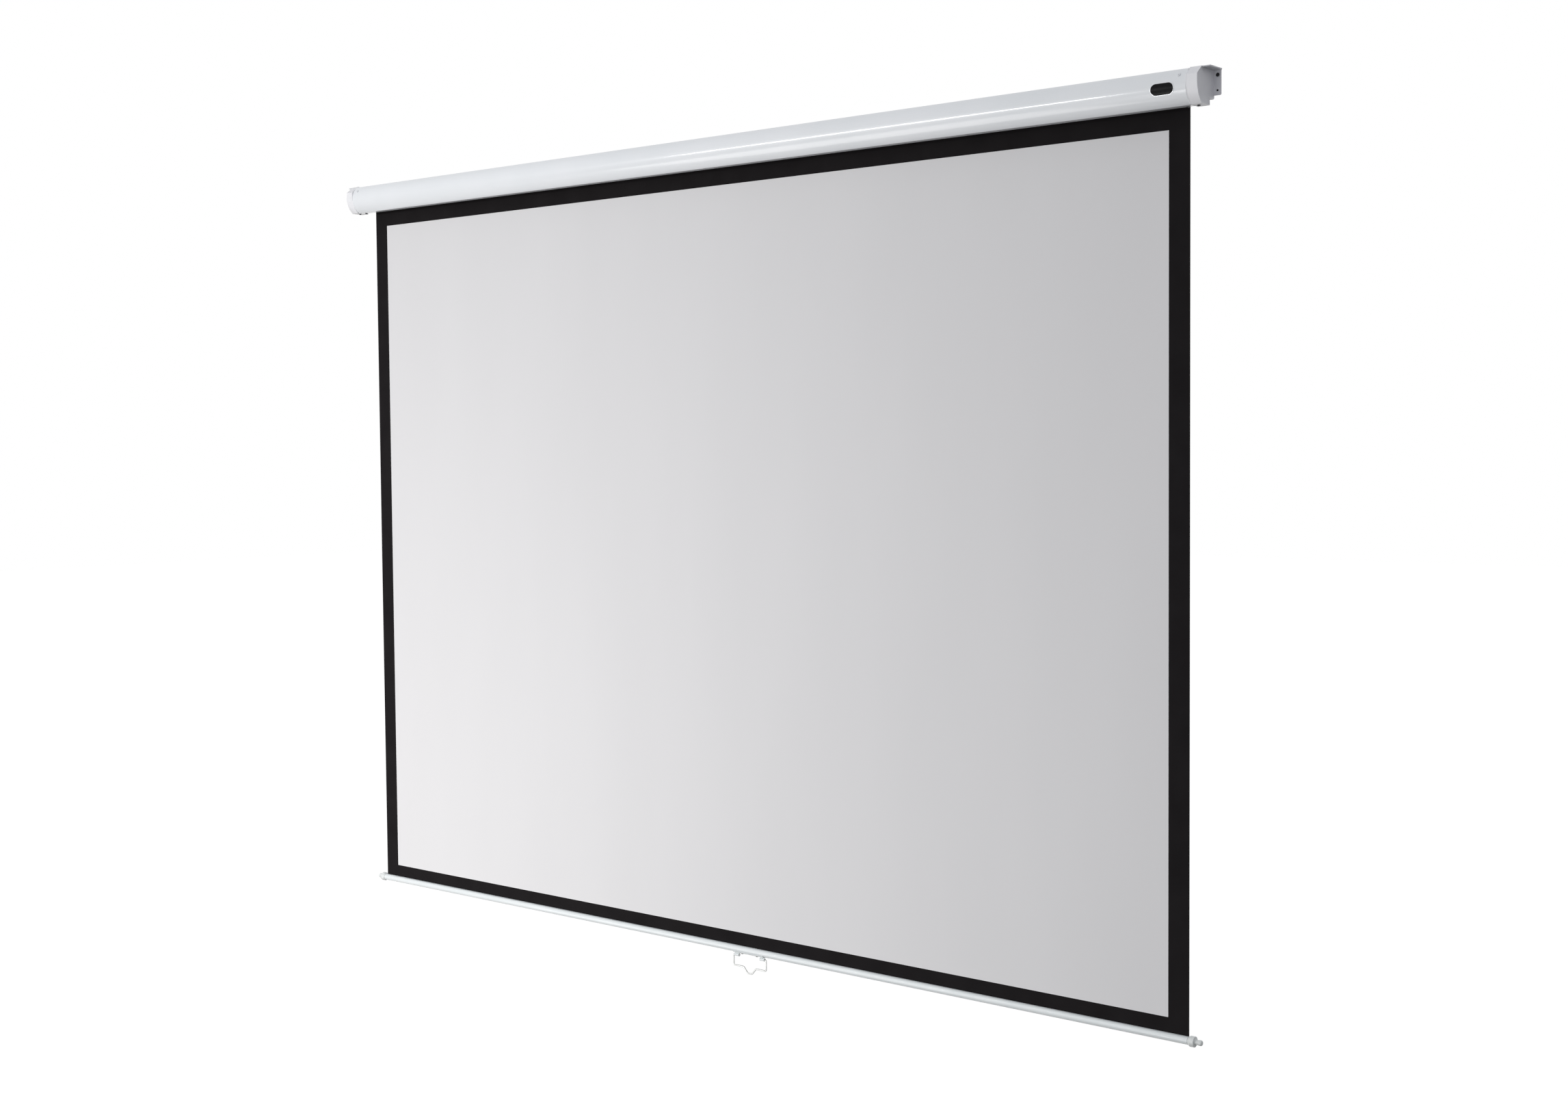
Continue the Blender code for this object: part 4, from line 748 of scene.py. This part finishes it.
badge = shell("badge", CASING_FRONT_RADIUS + FIT_GAP, BADGE_FRONT_RADIUS)
cut(badge, pill("outline", 0), "INTERSECT")
field = shell("field", BADGE_FRONT_RADIUS - BADGE_RECESS, BADGE_FRONT_RADIUS + BADGE_THICKNESS)
cut(field, pill("inner_outline", BADGE_RIM), "INTERSECT")
cut(badge, field)
badge.data.name = "badge"
badge.data.materials.clear()
badge.data.materials.append(badge_edge)
badge.data.materials.append(badge_enamel)
select_only(badge)
bpy.ops.object.mode_set(mode="EDIT")
pick(badge, "FACE", lambda at, facing: facing.y < -0.5 and math.hypot(
    at.y - CASING_FRONT_Y, at.z - CASING_FRONT_Z) < BADGE_FRONT_RADIUS - BADGE_RECESS / 2)
badge.active_material_index = 1
bpy.ops.object.material_slot_assign()
bpy.ops.object.mode_set(mode="OBJECT")
ease_edges(badge)
fit(badge, None, "casing", "badge", "badge_plate")

# Spindle, pins, bearings, plugs and lock, inside the casing and the roller.
# The spindle, pins, pawls and collar are turned or stamped steel with zinc plating, the blocks and plugs
# are moulded nylon, and the roller is a welded steel tube with a rolled keyway and a rod that keys the cloth.

# Zinc plating: a soft grey shine with fine turning marks and a cloudy, slightly blue spangle.
zinc_steel = new_finish("zinc_plated_steel", "#a9adb3", 0.35, Metallic=1.0)
cloud_colour(zinc_steel, "#9a9ea5", "#b6babf", size_mm=7, detail=4)
vary_shine(zinc_steel, 0.29, 0.42, size_mm=0.5, stretch=(1, 20, 20))
raise_pattern(zinc_steel, grain(zinc_steel, size_mm=0.4, detail=1, stretch=(1, 20, 20)), depth_mm=0.004)
# Nylon: milky moulded plastic, slightly waxy, with soft flow marks.
natural_nylon = new_finish("natural_nylon", "#d8d6cd", 0.45, Subsurface_Weight=0.1, Subsurface_Scale=0.002)
cloud_colour(natural_nylon, "#d2d0c6", "#dedcd4", size_mm=12, stretch=(1, 1, 3))
vary_shine(natural_nylon, 0.40, 0.52, size_mm=2)

for finish, names in ((zinc_steel, ("spindle", "spindle_clip", "spring_anchor", "ratchet_collar", "pawl_a",
                                    "pawl_b", "idle_pin", "pawl_pin_a", "pawl_pin_b", "roller_tube",
                                    "cloth_key_rod")),
                      (natural_nylon, ("bearing_block_left", "bearing_block_right", "lock_plug",
                                       "idle_plug", "spring_plug", "hem_rod"))):
    for name in names:
        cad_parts[name].data.materials.clear()
        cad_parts[name].data.materials.append(finish)

# Torsion spring: the spring on the spindle that winds the cloth up.
# It is hard-drawn steel wire, coiled round the spindle, with a straight tail held in the anchor and its
# free end gripped by the plug that turns with the roller.
ROLLER_Y = -0.0305
ROLLER_Z = 0.0030
SPRING_MEAN_RADIUS = 0.0110
SPRING_WIRE_RADIUS = 0.0011
SPRING_TURNS = 18
SPRING_FIRST_X = 1.0456
SPRING_LAST_X = 1.1495
SPRING_BEND_RADIUS = 0.0028
SPRING_TAIL_X = 1.1615
COIL_STEPS = 24

# Spring wire: drawn and left oiled, dark steel with a fine uneven shine.
spring_steel = new_finish("oiled_spring_steel", "#6b6d72", 0.34, Metallic=1.0)
cloud_colour(spring_steel, "#5f6166", "#777a80", size_mm=5)
vary_shine(spring_steel, 0.29, 0.40, size_mm=0.8)


def draw_wire(radius, rounding):
    """Turns the line that is being drawn into round wire with closed ends."""
    bpy.ops.object.mode_set(mode="OBJECT")
    bpy.ops.object.convert(target="CURVE")
    line = bpy.context.active_object
    line.data.bevel_depth = radius
    line.data.bevel_resolution = rounding
    line.data.use_fill_caps = True
    bpy.ops.object.convert(target="MESH")
    wire = bpy.context.active_object
    wire.data.materials.clear()
    bpy.ops.object.mode_set(mode="EDIT")
    close_up()
    ease_edges(wire)
    return wire


coil = start_line("torsion_spring_coil", (SPRING_FIRST_X, ROLLER_Y, ROLLER_Z))
tail_angle = math.asin(SPRING_BEND_RADIUS / SPRING_MEAN_RADIUS)
tail_rise = SPRING_MEAN_RADIUS * (1 - math.cos(tail_angle))
bpy.ops.transform.translate(value=(0, SPRING_MEAN_RADIUS - tail_rise, -SPRING_BEND_RADIUS))
bpy.ops.object.mode_set(mode="OBJECT")
apply_modifier(coil, "SCREW", axis="X", angle=math.tau, iterations=SPRING_TURNS, steps=COIL_STEPS,
               render_steps=COIL_STEPS, screw_offset=(SPRING_LAST_X - SPRING_FIRST_X) / SPRING_TURNS)
bpy.ops.object.mode_set(mode="EDIT")
pick(coil, "VERT", lambda at, facing: at.x > SPRING_LAST_X - HAIR)
draw(0, tail_rise, SPRING_BEND_RADIUS)
draw(SPRING_TAIL_X - SPRING_LAST_X, 0, 0)
corner_y = ROLLER_Y + SPRING_MEAN_RADIUS
pick(coil, "VERT", lambda at, facing: abs(at.x - SPRING_LAST_X) < HAIR and at.y > corner_y - HAIR)
# The bend has to stay within the short edge that leads up to it.
bpy.ops.mesh.bevel(offset=SPRING_BEND_RADIUS * 0.9, segments=6, affect="VERTICES")
coil = draw_wire(SPRING_WIRE_RADIUS, rounding=3)
fit(coil, spring_steel, "casing", "plated_steel", "torsion_spring")

# Cloth: one black sheet from the roller to the bottom bar, coated white on its front inside black borders.
# It is glass-fibre fabric with a soft vinyl coat on both sides, 0.4 mm thick. It hangs straight under the
# bar's weight, with hardly visible waves, and its last wraps stay keyed to the roller.
CLOTH_HALF_WIDTH = 1.2000
CLOTH_THICKNESS = 0.0004
CLOTH_Y = -0.0094
CLOTH_BOTTOM_Z = -1.8150
IMAGE_HALF_WIDTH = 1.1550
IMAGE_TOP_Z = -0.0700
IMAGE_BOTTOM_Z = -1.7810
COAT_THICKNESS = 0.00015
WAVE_DEPTH = 0.00035
WAVE_LENGTH = 0.62
WAVE_SLANT = 0.25
SHEET_COLUMNS = 120
SHEET_ROWS = 80
WRAP_INNER_RADIUS = 0.01927
WRAP_PITCH = 0.00042
WRAP_TURNS = 3.25
WRAP_STEPS = 64

# Black vinyl coat on the fabric: dull, almost without a shine, with the weave's fine pebble showing. The
# pebble is 0.3 mm across on the real cloth, and is drawn at 1.2 mm so that it shows.
black_cloth = new_finish("black_coated_fabric", "#201e1f", 0.80, Specular_IOR_Level=0.02)
cloud_colour(black_cloth, "#1e1c1d", "#222021", size_mm=60, detail=4)
vary_shine(black_cloth, 0.72, 0.88, size_mm=2.5)
raise_pattern(black_cloth, grain(black_cloth, size_mm=1.2, detail=1), depth_mm=0.03)


def weave(finish, thread_mm):
    """The height of a plain weave: threads along X and Z that pass over and under each other."""
    tree = finish.node_tree
    place = add_node(tree, "ShaderNodeTexCoord").outputs["Object"]
    turns = add_node(tree, "ShaderNodeVectorMath", {0: place, 1: (math.pi * 1000 / thread_mm,) * 3},
                     operation="MULTIPLY")
    axes = add_node(tree, "ShaderNodeSeparateXYZ", {0: turns.outputs[0]})
    across = add_node(tree, "ShaderNodeMath", {0: axes.outputs["X"]}, operation="SINE")
    along = add_node(tree, "ShaderNodeMath", {0: axes.outputs["Z"]}, operation="SINE")
    return add_node(tree, "ShaderNodeMath", {0: across.outputs[0], 1: along.outputs[0]},
                    operation="MULTIPLY").outputs[0]


# White projection coat: chalk-matt vinyl that scatters light evenly. It takes the print of the weave
# below, 0.3 mm in the real cloth and drawn at 1.5 mm, and a very faint cloudiness from the coating knife.
white_coat = new_finish("matt_white_projection_coat", "#dcdbdc", 0.85, Specular_IOR_Level=0.25)
cloud_colour(white_coat, "#dbdadb", "#dddcdd", size_mm=240, stretch=(1, 1, 4))
vary_shine(white_coat, 0.80, 0.90, size_mm=3)
raise_pattern(white_coat, weave(white_coat, thread_mm=1.5), depth_mm=0.01)


def hang(name, half_width, top, bottom, middle_y, thickness):
    """A sheet that hangs flat from its top to its bottom edge, with the cloth's shallow waves between."""
    deselect()
    bpy.ops.mesh.primitive_grid_add(x_subdivisions=SHEET_COLUMNS, y_subdivisions=SHEET_ROWS, size=1,
                                    location=(0, middle_y, (top + bottom) / 2),
                                    rotation=(math.radians(90), 0, 0))
    sheet = bpy.context.active_object
    sheet.name = name
    sheet.data.name = name
    sheet.scale = (2 * half_width, top - bottom, 1)
    bpy.ops.object.transform_apply(location=True, rotation=True, scale=True)
    for point in sheet.data.vertices:
        drop = (ROLLER_Z - point.co.z) / (ROLLER_Z - CLOTH_BOTTOM_Z)
        slant = point.co.x + WAVE_SLANT * drop * point.co.x
        point.co.y += WAVE_DEPTH * math.sin(math.pi * drop) * math.sin(math.tau * slant / WAVE_LENGTH)
    apply_modifier(sheet, "SOLIDIFY", thickness=thickness, offset=0)
    ease_edges(sheet)
    return sheet


cloth = hang("hanging_cloth", CLOTH_HALF_WIDTH, ROLLER_Z, CLOTH_BOTTOM_Z, CLOTH_Y, CLOTH_THICKNESS)
fit(cloth, black_cloth, "casing", "black_cloth", "screen_cloth")
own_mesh(cloth)

coat_y = CLOTH_Y - CLOTH_THICKNESS / 2 - FIT_GAP - COAT_THICKNESS / 2
coat = hang("projection_coat", IMAGE_HALF_WIDTH, IMAGE_TOP_Z, IMAGE_BOTTOM_Z, coat_y, COAT_THICKNESS)
fit(coat, white_coat, "casing", "white_screen", "viewing_surface")
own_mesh(coat)


def wrap_point(turned):
    """The middle of the cloth's section, after some turns round the roller; the last ends at its back."""
    radius = WRAP_INNER_RADIUS + WRAP_PITCH * turned
    angle = math.tau * (turned - WRAP_TURNS)
    return Vector((-CLOTH_HALF_WIDTH, ROLLER_Y + radius * math.cos(angle),
                   ROLLER_Z + radius * math.sin(angle)))


wraps = start_line("cloth_wraps_on_roller", wrap_point(0))
for step in range(int(WRAP_TURNS * WRAP_STEPS)):
    draw(*(wrap_point((step + 1) / WRAP_STEPS) - wrap_point(step / WRAP_STEPS)))
draw_along(2 * CLOTH_HALF_WIDTH)
apply_modifier(wraps, "SOLIDIFY", thickness=CLOTH_THICKNESS, offset=0)
ease_edges(wraps)
fit(wraps, black_cloth, "roller", "black_cloth", "cloth_wraps")

# Bottom bar: the weight that draws the cloth straight, which the handle hangs from.
# It is a 16 mm steel tube with a slot along its upper side, which grips the hem and its rod, coated a
# little greyer than the casing.
BAR_Y = -0.0124
BAR_Z = -1.818416
BAR_RADIUS = 0.0080
BAR_WALL = 0.0015
BAR_HALF_LENGTH = 1.2003
# The cloth goes into the bar this far behind its axis and above it.
SLOT_SETBACK = 0.0030
SLOT_RISE = 0.007416
BAR_SLOT_ANGLE = math.degrees(math.atan2(SLOT_RISE, SLOT_SETBACK))
BAR_SLOT_HALF_ANGLE = 9

# Satin coat on the bar: a cool light grey white with a fine peel.
bar_paint = new_finish("satin_grey_white_powder_coat", "#dde1e2", 0.34,
                       Coat_Weight=0.5, Coat_Roughness=0.10)
cloud_colour(bar_paint, "#d9dedf", "#e0e4e5", size_mm=90)
vary_shine(bar_paint, 0.30, 0.39, size_mm=4)
raise_pattern(bar_paint, grain(bar_paint, size_mm=1.4, detail=1), depth_mm=0.006)

slot_edge = math.radians(BAR_SLOT_ANGLE + BAR_SLOT_HALF_ANGLE)
bar = start_line("slotted_bar", (-BAR_HALF_LENGTH, BAR_Y + BAR_RADIUS * math.cos(slot_edge),
                                 BAR_Z + BAR_RADIUS * math.sin(slot_edge)))
roll(360 - 2 * BAR_SLOT_HALF_ANGLE, BAR_Y, BAR_Z, steps=60)
draw_along(2 * BAR_HALF_LENGTH)
thicken(bar, BAR_WALL)
ease_edges(bar, SHEET_EDGE, segments=2, sharpest=50)

# Bar ends: a plug in each end of the tube with a collar and a knobbed pin, which parks in the cap's notch.
# Each is one ABS moulding, slit on top for the cloth's corner.
BAR_PLUG_DEPTH = 0.0140
BAR_PLUG_RADIUS = BAR_RADIUS - BAR_WALL - FIT_GAP
COLLAR_RADIUS = 0.0105
COLLAR_LENGTH = 0.0140
COLLAR_FLARE = 0.0040
PIN_NECK_RADIUS = 0.0049
PIN_KNOB_RADIUS = 0.0055
PIN_NECK_LENGTH = 0.0075
PIN_LENGTH = 0.0150
CLOTH_IN_BAR = 0.0040

# The same ABS as the caps, in the bar's light grey, which has a little more shine off the turned mould.
grey_moulding = new_finish("satin_grey_abs", "#dadddc", 0.36)
cloud_colour(grey_moulding, "#d7dad9", "#dde0df", size_mm=15)
vary_shine(grey_moulding, 0.32, 0.42, size_mm=4)

# The profile goes from the plug to the knob, and its small steps round the corners off.
neck_end = COLLAR_LENGTH + PIN_NECK_LENGTH
knob_end = COLLAR_LENGTH + PIN_LENGTH
plug_profile = [
    (-BAR_PLUG_DEPTH, 0), (-BAR_PLUG_DEPTH, BAR_PLUG_RADIUS - 0.0008),
    (-BAR_PLUG_DEPTH + 0.0008, BAR_PLUG_RADIUS), (0, BAR_PLUG_RADIUS)]
collar_profile = [
    (0, BAR_RADIUS - 0.0004), (0.0004, BAR_RADIUS), (0.0012, BAR_RADIUS),
    (COLLAR_FLARE, COLLAR_RADIUS - 0.0003), (COLLAR_FLARE + 0.0006, COLLAR_RADIUS),
    (COLLAR_LENGTH - 0.0010, COLLAR_RADIUS), (COLLAR_LENGTH - 0.0003, COLLAR_RADIUS - 0.0003),
    (COLLAR_LENGTH, COLLAR_RADIUS - 0.0010)]
pin_profile = [
    (COLLAR_LENGTH, PIN_NECK_RADIUS + 0.0004), (COLLAR_LENGTH + 0.0004, PIN_NECK_RADIUS),
    (neck_end, PIN_NECK_RADIUS), (neck_end + 0.0003, PIN_KNOB_RADIUS - 0.0003),
    (neck_end + 0.0007, PIN_KNOB_RADIUS), (knob_end - 0.0028, PIN_KNOB_RADIUS),
    (knob_end - 0.0015, PIN_KNOB_RADIUS - 0.0005), (knob_end - 0.0006, PIN_KNOB_RADIUS - 0.0013),
    (knob_end, PIN_KNOB_RADIUS - 0.0027), (knob_end, 0)]
right_end = turn("bar_end_right_moulding", (BAR_HALF_LENGTH + FIT_GAP, BAR_Y, BAR_Z), (1, 0, 0),
                 plug_profile + collar_profile + pin_profile)
deselect()
bpy.ops.mesh.primitive_cube_add(size=1)
corner_room = bpy.context.active_object
room_half_width = CLOTH_THICKNESS + 2 * FIT_GAP
room_bottom = BAR_Z + SLOT_RISE - CLOTH_IN_BAR - room_half_width
corner_room.scale = (BAR_PLUG_DEPTH + FIT_GAP, 3 * room_half_width, 2 * BAR_RADIUS)
corner_room.location = (BAR_HALF_LENGTH + FIT_GAP - BAR_PLUG_DEPTH / 2,
                        BAR_Y + SLOT_SETBACK + room_half_width / 2, room_bottom + BAR_RADIUS)
cut(right_end, corner_room)
ease_edges(right_end)
fit_both_ends(right_end, grey_moulding, "hanging_bar", "cap_moulding", "bar_end")

# Saddle and rivets: a strap under the bar that carries the handle in an eye at each end.
# It is 1.1 mm steel, pressed round the tube, with a tongue at each end curled round the wire. Two domed
# rivets go up through the strap and the tube's wall.
HANDLE_X = 0.0887
HANDLE_DROP = 0.0143
HANDLE_HALF_WIDTH = 0.0484
HANDLE_BEND_RADIUS = 0.0034
HANDLE_WIRE_RADIUS = 0.00185
SADDLE_STEEL = 0.0011
SADDLE_HALF_ANGLE = 58
EYE_LENGTH = 0.0135
EYE_CURL = 330
# The eyes' tongues are a little thinner than the strap, so that no two faces lie in one plane.
TONGUE_STEEL = SADDLE_STEEL * 0.98
RIVET_X = 0.0220
RIVET_HEAD_RADIUS = 0.0030
RIVET_HEAD = 0.0014
RIVET_SHANK_RADIUS = 0.0013
saddle_inner = BAR_RADIUS + FIT_GAP
saddle_outer = saddle_inner + SADDLE_STEEL
saddle_reach = HANDLE_HALF_WIDTH - HANDLE_BEND_RADIUS - FIT_GAP
eye_radius = HANDLE_WIRE_RADIUS + FIT_GAP + SADDLE_STEEL / 2

# Rivet steel: plain and slightly dulled, in small lighter and darker patches.
rivet_steel = new_finish("dulled_rivet_steel", "#8d9093", 0.40, Metallic=1.0)
cloud_colour(rivet_steel, "#7c7f83", "#9b9ea1", size_mm=1.5)

saddle = start_line("saddle_strap", (
    HANDLE_X - saddle_reach, BAR_Y - saddle_outer * math.sin(math.radians(SADDLE_HALF_ANGLE)),
    BAR_Z - saddle_outer * math.cos(math.radians(SADDLE_HALF_ANGLE))))
roll(2 * SADDLE_HALF_ANGLE, BAR_Y, BAR_Z, steps=24)
draw_along(2 * saddle_reach)
thicken(saddle, SADDLE_STEEL)
ease_edges(saddle, SHEET_EDGE, segments=2, sharpest=50)
for start in (-saddle_reach, saddle_reach - EYE_LENGTH):
    eye = start_line("eye", (HANDLE_X + start, BAR_Y, BAR_Z - saddle_inner - SADDLE_STEEL / 2))
    draw(0, 0, saddle_inner + SADDLE_STEEL / 2 - HANDLE_DROP + eye_radius)
    roll(EYE_CURL, BAR_Y, BAR_Z - HANDLE_DROP, steps=32)
    draw_along(EYE_LENGTH)
    thicken(eye, TONGUE_STEEL, side=0)
    cut(saddle, eye, "UNION")
rivet_length = SADDLE_STEEL + BAR_WALL + 3 * FIT_GAP
hole = straight(-rivet_length, 2 * rivet_length, RIVET_SHANK_RADIUS + FIT_GAP)
shank = [(-rivet_length, 0), (-rivet_length, RIVET_SHANK_RADIUS), (FIT_GAP, RIVET_SHANK_RADIUS)]
dome = [(FIT_GAP + RIVET_HEAD * math.sin(math.radians(angle)),
         RIVET_HEAD_RADIUS * math.cos(math.radians(angle))) for angle in range(0, 91, 15)]
for name, way in (("left", -1), ("right", 1)):
    under_strap = Vector((HANDLE_X + way * RIVET_X, BAR_Y, BAR_Z - saddle_outer))
    for piece in (saddle, bar):
        cut(piece, turn("hole", under_strap, (0, 0, 1), hole, steps=24))
    rivet = turn("rivet_" + name, under_strap, (0, 0, -1), shank + dome, steps=32)
    ease_edges(rivet)
    fit(rivet, rivet_steel, "hanging_bar", "dark_rivet", "saddle_rivet_" + name)
ease_edges(saddle)
ease_edges(bar)
fit(saddle, bar_paint, "hanging_bar", "bar_paint", "handle_saddle")
fit(bar, bar_paint, "hanging_bar", "bar_paint", "bottom_bar")

# Handle: a wire loop that swings in the saddle's eyes and is pulled to draw the screen down.
# It is one 3.7 mm steel wire, bent cold with its ends turned inwards and a dip in the middle of its foot
# for a hook or a finger, then nickel plated.
HANDLE_LEG = 0.0252
HANDLE_END_LENGTH = 0.0174
DIP_TOP_HALF_WIDTH = 0.0185
DIP_BOTTOM_HALF_WIDTH = 0.0062
DIP_DEPTH = 0.0137
DIP_BEND = 0.0020

# Nickel plate over drawn wire: bright, with small faint marks.
bright_wire = new_finish("nickel_plated_wire", "#b9bab9", 0.32, Metallic=1.0)
cloud_colour(bright_wire, "#b1b2b1", "#c1c2c1", size_mm=6)
vary_shine(bright_wire, 0.29, 0.36, size_mm=0.7)

half_handle = [(HANDLE_END_LENGTH - HANDLE_HALF_WIDTH, 0), (-HANDLE_HALF_WIDTH, 0),
               (-HANDLE_HALF_WIDTH, -HANDLE_LEG), (-DIP_TOP_HALF_WIDTH, -HANDLE_LEG),
               (-DIP_BOTTOM_HALF_WIDTH, -HANDLE_LEG - DIP_DEPTH)]
corners = half_handle + [(-x, z) for x, z in reversed(half_handle)]
pivot = Vector((HANDLE_X, BAR_Y, BAR_Z - HANDLE_DROP))
handle = start_line("handle_wire", pivot + Vector((corners[0][0], 0, corners[0][1])))
for one, two in zip(corners, corners[1:]):
    draw(two[0] - one[0], 0, two[1] - one[1])
pick(handle, "VERT", lambda at, facing: abs(at.x - HANDLE_X) > HANDLE_HALF_WIDTH - HAIR)
bpy.ops.mesh.bevel(offset=HANDLE_BEND_RADIUS, segments=8, affect="VERTICES")
pick(handle, "VERT", lambda at, facing: abs(at.x - HANDLE_X) < DIP_TOP_HALF_WIDTH + HAIR)
bpy.ops.mesh.bevel(offset=DIP_BEND, segments=6, affect="VERTICES")
handle = draw_wire(HANDLE_WIRE_RADIUS, rounding=5)
fit(handle, bright_wire, "handle", "bright_wire", "pull_handle")
